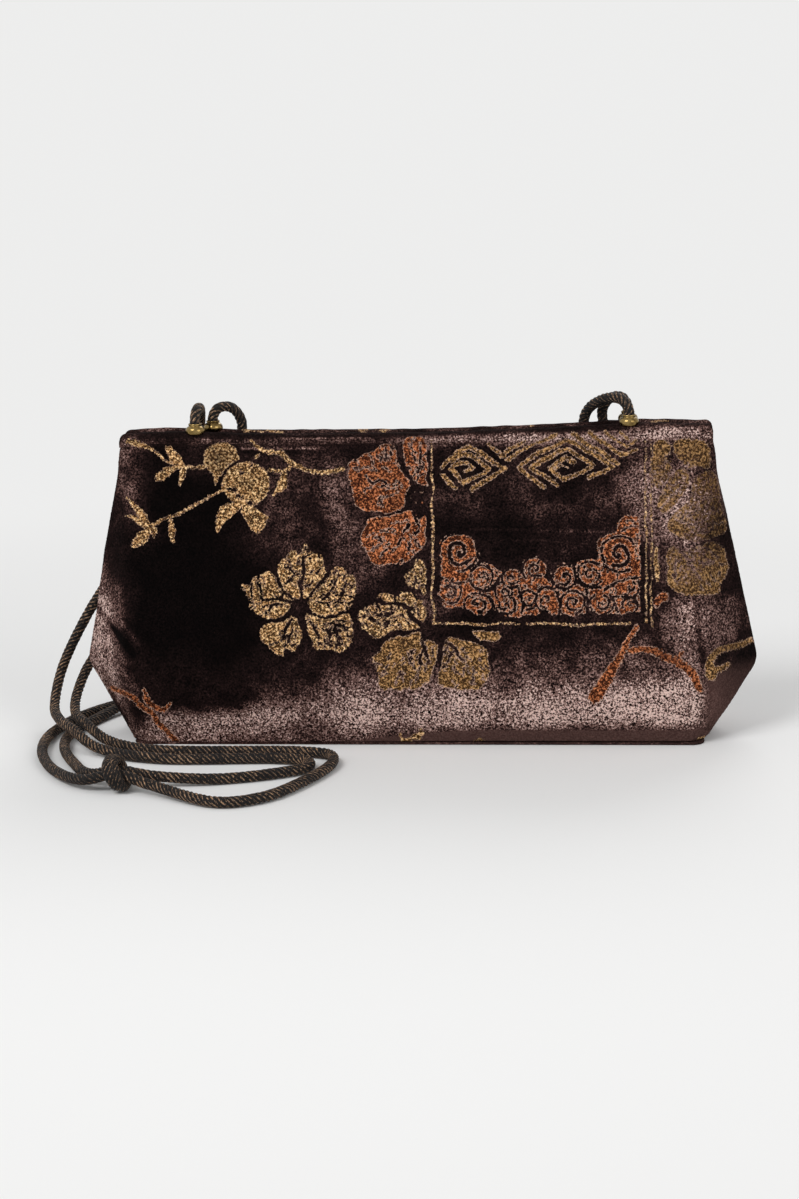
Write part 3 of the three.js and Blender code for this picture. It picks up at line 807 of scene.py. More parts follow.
def blob(cx, cy, rx, ry, turn=0.0, lobes=0, depth=0.0):
    """An ellipse, with a lobed edge if asked."""
    reach = max(rx, ry) * (1 + depth)

    def distance(x, y):
        u = ((x - cx) * math.cos(turn) + (y - cy) * math.sin(turn)) / rx
        v = ((y - cy) * math.cos(turn) - (x - cx) * math.sin(turn)) / ry
        return (np.hypot(u, v) - 1 - depth * np.cos(lobes * np.arctan2(v, u))) * min(rx, ry)
    return (cx - reach, cy - reach, cx + reach, cy + reach), distance


def patch(*points, smooth=True):
    """A closed outline through points."""
    path = np.array(points, float)
    if smooth:
        path = centripetal(np.vstack([path[-2:], path, path[:3]]), 3)[6:-9]

    def distance(x, y):
        best = np.full(x.shape, FAR)
        odd = np.zeros(x.shape, bool)
        for (ax, ay), (bx, by) in zip(path, np.roll(path, -1, axis=0)):
            best = np.minimum(best, to_segment(x, y, (ax, ay), (bx, by))[0])
            if by != ay:
                odd ^= ((ay > y) != (by > y)) & (x < ax + (y - ay) * (bx - ax) / (by - ay))
        return np.where(odd, -best, best)
    return (*path.min(0), *path.max(0)), distance


def spiral(cx, cy, radius, turns, width, hand, phase):
    """A spiral line from its middle outwards."""
    angle = np.linspace(0, 2 * math.pi * turns, int(12 * turns) + 2)
    out = radius * (angle / angle[-1]) ** 0.85
    return stroke(around(cx, cy, out, phase + hand * angle), width, smooth=False)


def cracks(centre, *rows):
    """Short dark lines that run away from a centre, scattered in ellipses.

    Each row gives an ellipse's middle and reach, how many lines, a seed, and their width and length.
    """
    shapes = []
    for cx, cy, rx, ry, count, seed, width, length in rows:
        for out, angle, lean, long, wide in np.random.default_rng(seed).uniform(0, 1, (count, 5)):
            x = cx + rx * math.sqrt(out) * math.cos(2 * math.pi * angle)
            y = cy + ry * math.sqrt(out) * math.sin(2 * math.pi * angle)
            way = math.atan2(y - centre[1], x - centre[0]) + 1.5 * (lean - 0.5)
            reach = length * (0.5 + 0.8 * long)
            points = [(x, y), around(x, y, 0.5 * reach, way + 0.3), around(x, y, reach, way)]
            shapes.append(stroke(points, [0.8, width * (0.6 + 0.7 * wide), 0.5], smooth=False))
    return shapes


OUTSIDE = 12.0
DEEPEST_MM = 3


class Ornament:
    """How deep each point lies inside the motifs of each colour, in the photograph's pixels."""

    def __init__(self, x, y):
        self.x = x
        self.y = y
        self.inside = {metal: np.full(x.shape, -OUTSIDE) for metal in METALS}

    def change(self, metal, shapes, choose, sign):
        """Adds shapes to a metal or takes them out, by the larger or the smaller of two depths."""
        field = self.inside[metal]
        for (x0, y0, x1, y1), distance in shapes:
            near = np.nonzero((self.x > x0 - OUTSIDE) & (self.x < x1 + OUTSIDE)
                              & (self.y > y0 - OUTSIDE) & (self.y < y1 + OUTSIDE))
            field[near] = choose(field[near], sign * distance(self.x[near], self.y[near]))

    def add(self, metal, *shapes):
        self.change(metal, shapes, np.maximum, -1)

    def carve(self, metal, *shapes):
        self.change(metal, shapes, np.minimum, 1)

    def depths_mm(self):
        return {metal: np.clip(field / PIXELS_PER_MM, -DEEPEST_MM, DEEPEST_MM)
                for metal, field in self.inside.items()}


def fruit_sprig(o):
    """Two round fruits on a leafy branch, upper left."""
    o.add("gold", *strokes([(216, 468, 12), (216, 482, 3)]), blob(221, 459, 18.5, 17, 0.2))
    o.carve("gold", blob(246, 484, 26, 25.5))
    o.add("gold", blob(246, 484, 23.5, 22.5))
    o.carve("gold", *strokes([(229, 489, 3), (235, 491, 4)]), blob(239, 497, 3.5, 1.6, 0.3),
        blob(249, 503, 3.2, 2), blob(241, 473, 1.6, 1.6), blob(252, 466, 1.5, 1.2))
    o.add("gold", *strokes([(128, 441, 5), (134, 443, 7), (147, 447, 4.5), (158, 455, 3), (169, 462),
        (184, 467, 3.5), (204, 467, 4.5)], [(183, 467, 3), (176, 459, 10), (168, 449, 8), (165, 446, 2)],
        [(181, 467, 3), (168, 471, 9), (160, 477, 8), (156, 480, 2)],
        [(184, 467, 4), (183, 475, 8), (180, 485, 2)],
        [(224, 489, 3.5), (205, 499, 3), (191, 506), (177, 515, 3.5), (163, 519), (152, 527, 4)],
        [(151, 529, 4), (144, 519, 9), (137, 508, 7), (127, 498, 2)],
        [(150, 528, 3), (138, 521, 6), (126, 516, 2)],
        [(149, 527, 4), (143, 536, 11), (138, 542, 9), (132, 547, 3)],
        [(153, 524, 4), (153, 532, 6), (152, 538, 2)], [(170, 518, 2.5), (172, 531, 9), (173, 541, 3)],
        [(236, 506, 9), (226, 512, 14), (220, 521, 9), (218, 532, 2)],
        [(243, 504, 4), (249, 512, 16), (257, 521, 20), (257, 533, 4)], [(262, 517, 8), (269, 519, 2)],
        [(251, 440, 3), (256, 446, 4), (265, 451, 5), (279, 453), (292, 463), (307, 471, 4), (325, 472, 5),
        (342, 470, 6)], [(286, 458, 5), (281, 449, 2)], [(292, 466, 4), (283, 472, 3.5), (270, 471, 5)],
        [(285, 474, 5), (282, 484, 11), (273, 495, 2)]), blob(257, 457, 3, 2, -0.5))


def five_petals(o):
    """The gold flower seen whole: five ragged petals with a net of dark cracks."""
    centre = (300, 606)
    o.add("gold", patch((295, 599), (282, 589), (280, 577), (278, 567), (282, 561), (288, 557), (290, 551),
        (296, 550), (299, 554), (304, 543), (309, 549), (315, 553), (321, 555), (323, 562), (327, 571),
        (326, 580), (310, 597), (303, 599)),
        patch((308, 603), (325, 583), (335, 568), (340, 568), (349, 575), (352, 574), (356, 578), (357, 590),
        (351, 607), (342, 612), (318, 615), (311, 611)),
        patch((305, 614), (312, 616), (330, 618), (347, 613), (352, 621), (354, 635), (345, 651), (338, 653),
        (330, 650), (322, 649), (316, 649), (309, 636), (308, 628)),
        patch((296, 617), (299, 625), (302, 632), (301, 640), (293, 652), (286, 648), (283, 655), (278, 656),
        (267, 645), (261, 638), (261, 629), (266, 624), (283, 621), (292, 615)),
        patch((292, 600), (281, 588), (279, 581), (273, 573), (266, 571), (260, 575), (252, 578), (250, 584),
        (243, 583), (241, 587), (245, 591), (247, 598), (249, 602), (250, 609), (254, 609), (256, 614),
        (268, 619), (288, 611)))
    o.carve("gold", *strokes([(302, 600, 3), (301, 586), (303, 570, 3.4), (303, 556, 2)],
        [(303, 587, 2), (311, 585, 3), (313, 580, 1)], [(296, 572, 1.5), (286, 583, 2.5)],
        [(290, 602, 3), (276, 600, 2.6), (262, 600, 2)], [(262, 598, 2.8), (260, 586), (257, 577)],
        [(284, 604, 1.5), (272, 607, 2.6), (269, 611, 1.5)], [(251, 598, 1.6), (252, 584)],
        [(286, 591, 1.5), (279, 600, 2.5), (276, 596, 1)], [(292, 618, 2), (285, 630, 3.2), (283, 640, 2)],
        [(284, 638, 3), (291, 634, 1)], [(288, 644, 2.5), (290, 636, 2), (293, 628, 1)],
        [(270, 644, 1.2), (280, 643)], [(312, 600, 1), (326, 603, 2.4), (334, 600, 1)],
        [(326, 604, 2), (332, 611, 1)], [(322, 600, 1.5), (332, 588, 2.5), (338, 574, 1.5)],
        [(338, 606, 1), (342, 593, 2.6), (346, 580, 1.5)], [(310, 620, 1.5), (316, 632, 3), (318, 644, 1.5)],
        [(322, 622, 1.5), (328, 634, 2.8), (330, 646, 1.5)],
        [(333, 620, 1.5), (337, 632, 2.8), (340, 640, 1.5)],
        [(307, 600, 2.6), (317, 588, 2.4), (329, 573, 3.6)],
        [(292, 600, 2.6), (283, 589, 2.4), (277, 575, 3.6)]), blob(299.5, 607, 8.4, 8.4, lobes=5, depth=0.1),
        *cracks(centre, (302, 568, 19, 20, 26, 901, 1.9, 7), (336, 594, 19, 19, 34, 902, 2.1, 7),
        (331, 634, 20, 16, 46, 903, 2.1, 7), (290, 636, 9, 15, 12, 904, 1.9, 6),
        (252, 596, 8, 17, 14, 905, 1.9, 7), (270, 596, 18, 20, 10, 906, 1.4, 6)))


def copper_flower(o):
    """Three copper petals about a dark seeded centre, cut off by the frame line."""
    centre = (418, 497)
    o.add("copper", patch((351, 460), (356, 459), (364, 453), (374, 451), (380, 446), (388, 443), (394, 446),
        (396, 455), (403, 474), (409, 480), (411, 486), (408, 492), (406, 500), (405, 506), (388, 513),
        (378, 511), (366, 512), (360, 510), (355, 504), (350, 487), (348, 466)),
        patch((404, 440), (416, 436), (424, 438), (427, 446), (426, 458), (428, 468), (426, 478), (427, 487),
        (413, 480), (406, 464), (402, 446)),
        patch((367, 521), (374, 517), (384, 516), (402, 512), (409, 510), (414, 514), (417, 520), (425, 515),
        (426, 533), (425, 543), (414, 555), (411, 560), (403, 563), (399, 566), (391, 563), (382, 566),
        (374, 565), (369, 559), (366, 550), (361, 543), (361, 532)))
    o.carve("copper", *strokes([(412, 513, 3), (416, 521), (420, 526, 1)], [(408, 525, 3.4), (404, 532, 2)],
        [(419, 529, 2), (416, 536, 1)], [(401, 540, 2.4), (397, 547, 1)], [(385, 549, 2.2), (381, 557, 1)],
        [(366, 476, 1), (373, 483, 2), (380, 480, 1)], [(386, 498, 1.6), (393, 496, 2), (400, 492, 1)],
        [(385, 448, 2), (386, 458, 1)], [(391, 446, 2), (390, 456, 1)],
        [(412, 440, 1), (413, 452, 2), (417, 462, 1)], [(421, 444, 1.6), (420, 462, 2), (418, 474, 1)]),
        blob(418, 497, 10.5, 11, lobes=8, depth=0.06), *cracks(centre, (380, 478, 27, 30, 30, 911, 1.5, 7),
        (416, 462, 8, 22, 12, 913, 1.5, 6)), *cracks((416, 506), (395, 540, 28, 22, 30, 912, 1.6, 7)))
    for k in range(6):
        o.add("copper", blob(*around(*centre, 6, k * math.pi / 3), 1, 1))


def gold_flower_low(o):
    """Scalloped petals about the frame's lower left corner."""
    centre = (434, 632)
    o.add("gold", patch((416, 560), (423, 561), (426, 578), (425, 588), (427, 595), (423, 595), (420, 590),
        (414, 588), (407, 583), (405, 577), (409, 571), (414, 569)),
        patch((376, 598), (380, 593), (394, 594), (399, 595), (402, 591), (414, 594), (416, 600), (422, 601),
        (424, 606), (427, 609), (424, 621), (412, 612), (410, 607), (404, 604), (398, 601), (392, 603),
        (386, 603)),
        patch((357, 614), (361, 609), (379, 603), (382, 607), (395, 605), (402, 607), (407, 612), (410, 619),
        (418, 623), (419, 628), (404, 630), (396, 630), (379, 639), (372, 637), (367, 632), (362, 630),
        (361, 623), (357, 619)))
    o.add("olive", patch((391, 638), (397, 635), (405, 635), (413, 632), (421, 633), (422, 640), (432, 641),
        (437, 645), (436, 655), (432, 675), (430, 682), (424, 684), (420, 688), (412, 691), (405, 688),
        (400, 691), (392, 688), (384, 690), (379, 686), (378, 678), (376, 668), (373, 658), (376, 653),
        (381, 650), (383, 644)),
        patch((444, 641), (449, 637), (461, 639), (480, 645), (487, 651), (489, 660), (491, 668), (479, 691),
        (470, 689), (462, 690), (450, 688), (440, 686), (438, 680), (441, 670), (443, 648)),
        patch((472, 632), (478, 630), (487, 631), (498, 632), (501, 636), (495, 642), (487, 641),
        (478, 640)))
    o.carve("gold", *strokes([(377, 604, 2.4), (382, 612, 2), (380, 617, 1)], [(400, 604, 3), (404, 610, 2)],
        [(409, 608, 3), (412, 616), (422, 622, 2)], [(392, 614, 2), (392, 606)],
        [(412, 592, 3), (416, 600, 2)], [(395, 592, 2), (396, 602, 1)],
        [(414, 572, 1), (417, 582, 2), (423, 586)], [(384, 628, 2), (400, 626, 1)]), blob(371, 618, 3, 2),
        blob(387, 623, 3, 4), blob(388, 614, 4, 2.5), blob(380, 600, 2, 3),
        *cracks(centre, (377, 618, 17, 18, 24, 921, 1.8, 6), (400, 612, 24, 14, 24, 924, 1.7, 6)),
        *cracks((420, 597), (416, 577, 8, 15, 10, 925, 1.6, 6)))
    o.carve("olive", *strokes([(421, 640, 2), (425, 648, 3.6), (427, 656, 3), (428, 664, 1.5)],
        [(433, 646, 1), (432, 656, 1.6)], [(408, 652, 1), (411, 660, 3), (416, 672, 1)],
        [(423, 650, 1.6), (420, 662, 2.4), (426, 666, 2)],
        [(446, 642, 3), (455, 648, 3.4), (460, 656, 3), (464, 663, 1)],
        [(456, 650, 3), (450, 656), (450, 662, 1)], [(446, 648, 2), (444, 656, 1)],
        [(463, 668, 2), (462, 676, 1.4)], [(472, 668, 1.4), (474, 680, 1.6)]),
        *cracks(centre, (404, 660, 26, 26, 28, 922, 1.6, 6), (466, 662, 22, 24, 26, 923, 1.6, 6)))


def line_frame(o):
    """Thin gold lines that frame the fret and the scrolls."""
    o.add("gold",
        *strokes([(431, 440, 1.8), (432, 500, 2.2), (433, 536, 3), (433, 600, 2.2), (434.5, 622, 2.4)],
        [(434.5, 622.5, 2.4), (470, 624, 2.8), (519, 623, 2)],
        [(527, 623, 2), (580, 624.5, 2.8), (630, 623.5, 2.4)],
        [(645.5, 441, 1.4), (646, 560, 1.8), (646.5, 622, 2.0)], [(651, 441, 1.4), (651.5, 626, 1.8)]))


def frets(o):
    """The lines of a stepped fret under the rim."""
    o.add("olive", *strokes([(507, 459, 4.4), (518, 452.5), (530, 446), (544, 440), (556, 434.5)],
        [(503, 456, 3.8), (508, 450), (516, 445.5), (524, 441)], [(488, 444, 3.8), (495, 450), (502, 456)],
        [(620, 432, 3.2), (628, 438)]),
        *strokes([(442, 467, 5), (448, 461), (458, 453), (468, 447.5), (478, 452), (490, 459.5), (505, 469),
        (494, 476), (482, 483), (471, 490)], [(443, 476, 5), (449, 481), (456, 487)],
        [(451, 470, 4.7), (457, 475), (464, 483), (474, 478.5), (484, 473.5), (489, 468), (480, 461),
        (470, 455), (461, 455), (452, 461)],
        [(452, 467, 3.8), (459, 463), (466, 462), (473, 467), (465, 471)],
        [(589, 478, 5), (602, 472), (613, 466), (600, 458), (588, 451), (577, 444), (566, 441), (555, 446),
        (540, 453), (528, 461), (519, 467), (527, 474), (536, 481), (543, 487)],
        [(557, 485, 4.7), (548, 479), (539, 473), (532, 467.5), (543, 460), (556, 452.5), (568, 450),
        (578, 456), (588, 462), (593, 465), (584, 471), (573, 476), (564, 479), (555, 473), (549.5, 468),
        (557, 461), (566, 457.5), (574, 462)], [(556, 469, 2.6), (562, 464), (568, 467)],
        [(572, 434, 4.7), (586, 442), (600, 451), (611, 459), (619, 464)],
        [(590, 433, 4.7), (603, 442), (614, 451), (623, 456), (636, 449.5)],
        [(605, 432, 3.8), (617, 441), (626, 446), (635, 440)], smooth=False))


def curl(o, cx, cy, radius, turns, hand, phase, line):
    """A round curl with a beaded edge, a dark line round it and a dark spiral in it."""
    round_line = np.linspace(phase + 0.5, phase + 5.2, 16)
    o.add("copper", blob(cx, cy, radius, radius, lobes=max(9, int(radius * 1.05)), depth=0.06))
    o.carve("copper", stroke(around(cx, cy, radius + 0.6, round_line), 2.1, smooth=False),
        spiral(cx, cy, radius * 0.76, turns, line, hand, phase))


def scroll_band(o):
    """A band of copper scrolls, high at both ends, inside the frame."""
    o.add("copper", patch((441, 540), (448, 535), (457, 533), (466, 536), (474, 542), (480, 552), (479, 560),
        (474, 567), (484, 563), (493, 565), (498, 570), (503, 572), (508, 568), (515, 569), (521, 573),
        (524, 569), (522, 563), (526, 558), (533, 556), (541, 556), (547, 562), (548, 572), (552, 572),
        (556, 567), (563, 563), (576, 568), (578, 563), (585, 560), (593, 559), (598, 560), (598, 551),
        (597, 543), (601, 537), (608, 533), (616, 531), (616, 525), (620, 518), (628, 515), (640, 517),
        (640, 613), (632, 612), (622, 616), (610, 613), (601, 614), (592, 611), (583, 615), (572, 617),
        (562, 613), (552, 615), (543, 612), (536, 616), (526, 614), (518, 617), (508, 617), (500, 613),
        (492, 608), (484, 615), (474, 615), (466, 608), (456, 606), (448, 609), (441, 606), smooth=False))
    for cx, cy, radius, turns, hand, phase, line in (
        (459, 552, 18.5, 1.35, -1, 2.7, 3.4), (482, 577, 11, 0.8, 1, 2.4, 1.8),
        (450, 593, 10, 1.0, -1, 4.2, 2.8), (478, 604, 11.5, 1.1, 1, 0.9, 2.4),
        (503, 592, 8.5, 0.9, 1, 2.0, 2.0), (512, 578, 9.5, 1.0, -1, 0.4, 2.0),
        (506, 605, 9, 0.9, 1, 4.0, 1.9), (535, 569, 12.5, 1.15, -1, 1.8, 2.4),
        (528, 600, 9, 0.9, 1, 3.0, 2.0), (547, 600, 12, 0.9, -1, 1.0, 2.0),
        (564, 577, 11.5, 1.0, 1, 2.6, 2.4), (573, 603, 11.5, 1.2, -1, 2.4, 2.4),
        (591, 574, 12, 1.1, 1, 0.2, 2.2), (602, 603, 11, 1.0, -1, 5.0, 2.2),
        (619, 554, 17.5, 1.25, 1, 0.5, 3.4), (630, 587, 8.5, 0.7, -1, 3.4, 1.8),
        (630, 605, 7.5, 0.6, 1, 2.2, 1.8),
    ):
        curl(o, cx, cy, radius, turns, hand, phase, line)
    o.carve("copper",
        *strokes([(470, 584, 2), (480, 589, 3), (492, 588, 3.6), (499, 580, 3.4), (503, 573, 2)],
        [(441, 578, 2), (452, 583, 1.8), (464, 583, 2), (472, 576, 1)],
        [(488, 596, 3), (492, 604, 3.6), (497, 612, 3)], [(519, 588, 2.6), (522, 600), (521, 612)],
        [(549, 560, 4), (549, 576), (556, 586, 3), (566, 590, 2)],
        [(575, 570, 3.4), (577, 582, 3), (588, 588, 2.4), (600, 588, 2)],
        [(604, 590, 3), (612, 586, 2.2), (624, 580, 1.8), (640, 577, 1.4)],
        [(610, 596, 2), (624, 597, 1.6), (640, 594, 1.4)], [(622, 530, 1.4), (632, 526), (640, 527)],
        [(626, 521, 1.2), (640, 521)], [(637, 535, 1.2), (637, 560)],
        [(585, 590, 2.6), (588, 600, 2.8), (588, 612, 3.4)], [(558, 592, 2.8), (560, 604), (558, 614)],
        [(615, 604, 2), (618, 612, 3)]), *cracks((540, 700), (540, 590, 100, 26, 60, 931, 1.2, 5)))


def olive_flower(o):
    """The broad faded flower at the right end, with a gold bar and a copper bud beside it."""
    centre = (682, 545)
    o.add("olive", patch((653, 445), (657, 440), (664, 438), (670, 443), (671, 452), (668, 460), (672, 466),
        (670, 476), (658, 488), (653, 482), (652, 470), (651, 456)),
        patch((674, 441), (684, 438), (694, 439), (704, 440), (712, 458), (708, 468), (698, 466), (688, 468),
        (674, 452)),
        patch((657, 506), (660, 494), (666, 484), (672, 474), (680, 468), (688, 471), (690, 482), (674, 506),
        (662, 514)),
        patch((692, 492), (694, 480), (702, 472), (712, 470), (718, 478), (722, 500), (727, 525), (724, 533),
        (706, 540), (686, 540), (668, 528), (670, 518), (687, 501)),
        patch((669, 549), (676, 547), (682, 552), (690, 548), (700, 545), (712, 541), (720, 543), (725, 549),
        (726, 560), (729, 568), (726, 577), (721, 583), (720, 592), (712, 594), (688, 595), (670, 588),
        (666, 578), (668, 566), (667, 556)))
    o.carve("olive", *strokes([(660, 508, 1.4), (670, 498, 1.8), (680, 488, 1)],
        [(680, 552, 2), (688, 560, 2.6), (696, 570, 2), (702, 581, 1)],
        [(676, 520, 1), (690, 524, 1.8), (704, 522, 1)], [(700, 500, 1), (712, 498, 1.6)],
        [(700, 546, 1.4), (712, 550, 1.6), (718, 558, 1)], [(676, 562, 1.6), (674, 580, 1)]),
        *cracks(centre, (700, 514, 24, 24, 26, 941, 1.5, 6), (696, 570, 26, 22, 24, 942, 1.5, 6),
        (664, 470, 10, 30, 8, 943, 1.3, 5)))
    for x, y in ((653, 464), (657, 461), (663, 459), (660, 465), (667, 463)):
        o.add("gold", *strokes([(x, y, 1.8), (x + 3.5, y - 1.2)]))
    o.add("gold", *strokes([(656, 549, 3.4), (657, 564, 6), (657, 580, 4)]))
    o.add("copper", patch((652, 606), (662, 592), (668, 594), (667, 601), (662, 603), (658, 609)))


def low_branches(o):
    """Copper and olive branches near the lower right corner, and a copper twig lower left."""
    o.add("copper", *strokes([(637, 627, 5), (628, 641, 6), (620, 656, 8), (609, 676, 11), (596, 696, 16)],
        [(629, 652, 6), (640, 650, 8), (653, 651, 9), (666, 657, 8), (677, 662, 9), (690, 671, 10),
        (701, 689, 8)], [(676, 662, 7), (684, 652, 3)],
        [(112, 689, 5), (120, 692, 6), (132, 698), (145, 709, 7), (160, 724), (177, 742)],
        [(144, 690, 4), (147, 698, 7), (153, 706), (164, 709, 6), (170, 704, 5)]))
    o.add("olive",
        *strokes([(712, 674, 14), (710, 664, 8), (716, 654, 7), (728, 648), (742, 644), (752, 640, 5)],
        [(712, 668, 8), (722, 668, 7), (729, 663, 5)]))
    o.add("gold", *strokes([(400, 734, 3), (404, 741, 4), (412, 741)],
        [(474, 743, 2), (480, 741, 4), (486, 743, 2)], [(700, 741, 3), (706, 738, 4)]),
        blob(417, 738, 5, 4, -0.4), blob(421, 733, 2.5, 4))


MOTIFS = (
    fruit_sprig, copper_flower, gold_flower_low, five_petals, line_frame, frets, scroll_band, olive_flower,
    low_branches,
)


def draw_ornament(x, y):
    """The three metals' depths inside their motifs at each place of the photograph's frame, in mm."""
    ornament = Ornament(x + 1.1 * ripple(x, y, 26, 11), y + 1.1 * ripple(x, y, 26, 12))
    for motif in MOTIFS:
        motif(ornament)
    return ornament.depths_mm()


# How the pile lies, with painted sheen and painted shade, as soft patches of the frame: middle, reach both
# ways, and how much lighter
NAP_AND_SHEEN_PATCHES = (
    (690, 640, 20, 60, 0.4), (680, 506, 34, 52, 0.46), (640, 486, 16, 34, 0.26), (655, 700, 60, 30, 0.2),
    (98, 640, 12, 56, 0.62), (110, 690, 16, 40, 0.34), (112, 615, 14, 30, 0.14),
    (340, 525, 60, 44, 0.13), (310, 470, 60, 30, 0.06), (510, 668, 90, 26, 0.08),
    (545, 496, 84, 20, 0.07), (128, 470, 16, 44, 0.24), (540, 438, 120, 6, 0.7), (672, 436, 46, 8, 0.22),
    (728, 625, 18, 34, 0.3), (300, 441, 190, 5, 0.18), (350, 690, 70, 26, 0.17), (350, 430, 250, 9, -0.1),
    (200, 600, 66, 60, -0.2), (470, 528, 60, 10, -0.1), (420, 590, 40, 40, 0.06), (585, 650, 26, 26, 0.12),
    (180, 500, 50, 40, -0.14), (705, 466, 12, 14, -0.16), (640, 655, 14, 26, 0.2), (735, 640, 20, 40, -0.1),
    (190, 730, 50, 13, 0.14), (670, 622, 18, 26, 0.2), (142, 718, 12, 14, -0.26),
)

# Folds that show in the pile as streaks of painted highlight and painted shade: both ends, half the width,
# and how much lighter or darker
PAINTED_STREAKS = (
    ((90, 598), (132, 655), 3.0, -0.4), ((93, 590), (138, 644), 2.5, 0.16),
    ((104, 612), (118, 700), 3.0, 0.16), ((96, 655), (128, 735), 2.5, -0.2),
    ((694, 590), (704, 662), 4.0, -0.2), ((282, 434.5), (372, 434), 0.8, 0.3),
    ((284, 438.5), (370, 438), 0.8, 0.34), ((242, 448.5), (318, 448.5), 0.9, 0.26),
    ((244, 452), (300, 452), 2.5, -0.1), ((470, 529), (620, 532), 1.4, 0.08),
    ((500, 540), (560, 541), 1.0, 0.07),
)

# Where the metals are worn and darkened as painted shade, at the right end and on the fruits: middle, reach
# both ways, and how much
WEAR_AND_SHADE_PATCHES = (
    (714, 500, 28, 54, 0.6), (246, 480, 34, 30, 0.14), (216, 458, 17, 20, 0.4), (664, 656, 34, 16, 0.3),
    (732, 652, 26, 20, 0.4), (695, 560, 40, 44, 0.38), (668, 470, 26, 46, 0.38), (378, 475, 34, 34, 0.2),
)


# The pile's own lightness, and the row of the lit band above the base
PLAIN_NAP = 0.12
LIT_BAND_ROW = 716


def front_nap(x, y):
    """How far the front's pile lies over, with painted sheen and painted shade, from the photograph's
    patches.
    """
    # painted sheen: the lit band along the lower front
    middle = LIT_BAND_ROW - 0.012 * (x - 400)
    above = 9 + 22 * sloped(x, 220, 380)
    spread = np.where(y < middle, above, 15 + 16 * (1 - sloped(x, 300, 440)))
    band = np.exp(-np.abs((y - middle) / spread) ** 2.2) * (0.45 + 0.14 * sloped(x, 300, 520))
    band = band * sloped(x, 108, 165) * (1 - 0.9 * sloped(x, 690, 712))
    total = PLAIN_NAP + band + patches(x, y, NAP_AND_SHEEN_PATCHES)
    for start, end, half, amount in PAINTED_STREAKS:
        total = total + amount * np.exp(-(to_segment(x, y, start, end)[0] / half) ** 2)
    total = total + (0.04 + 0.08 * total) * ripple(x, y, 60, 21) + 0.09 * total * ripple(x, y, 24, 22)
    return np.clip(total, 0.02, 0.8)


def front_shine(x, y):
    """How brightly the woven metals show: lower where they are worn, and where painted shade darkens them.
    """
    return np.clip(1 - patches(x, y, WEAR_AND_SHADE_PATCHES) + 0.08 * ripple(x, y, 45, 23), 0.3, 1)


def back_nap(x, z):
    """The same for the back, which the photograph doesn't show: a lit lower band and slow patches."""
    # painted sheen: a lit band low on the back, and slow patches
    band = 0.6 * np.exp(-((z - 14 - 0.03 * x) / 11) ** 2)
    return np.clip(0.22 + band + 0.24 * ripple(x, z, 95, 31) + 0.08 * ripple(x, z, 30, 32), 0.03, 1)


# The velvet

PANEL_ROWS = 248
PANEL_RATIO = 8
VELVET_THICKNESS = 1.0
PILE_GRAIN = 0.05
WEAVE_DEPTH = 0.22
UNSEEN_NAP = 0.1

# Where the side facet folds at the belly's height, that fold's half width and top, and its depth on the
# right and on the left
BELLY_Z = 30
FOLD_X = 111.5
FOLD_WIDTH = 2.4
FOLD_TOP = 62
FOLD_DEPTHS = ((1, 0.8), (-1, 0.5))

# Where the facet's pressed part begins and how high it reaches, and how much it is pressed
FACET_X = 112
FACET_TOP = 46
FACET_PRESS = 0.85

# The smooth strip along the base: its left and right ends, how much higher it is between them, how far
# it draws in, and how its pile lies, kept low as painted shade where it turns under
STRIP_X = -48
STRIP_END = 118
STRIP_RISE = 5.6
STRIP_DEPTH = 0.9
STRIP_SHADED_SHEEN = 0.22


def panel_relief(x, z, seed):
    """Soft folds, puckers under the rim and slow waves of a velvet panel, in millimetres outwards."""
    below = PANEL_HIGH[2] - z
    puckers = 0.35 * ripple(x, 0 * z, 9, seed) + 0.25 * ripple(x, 0 * z, 17, seed + 1)
    waves = 0.55 * ripple(x, z, 70, seed + 2) * sloped(z, 3, 20) * sloped(below, 2, 20)
    small = 0.16 * ripple(x, z, 16, seed + 3) * sloped(z, 2, 10) * sloped(below, 1, 8)
    tuck = -0.4 * np.exp(-(below / 1.3) ** 2)
    return puckers * np.exp(-below / 6) * sloped(below, 0, 2.5) + waves + small + tuck


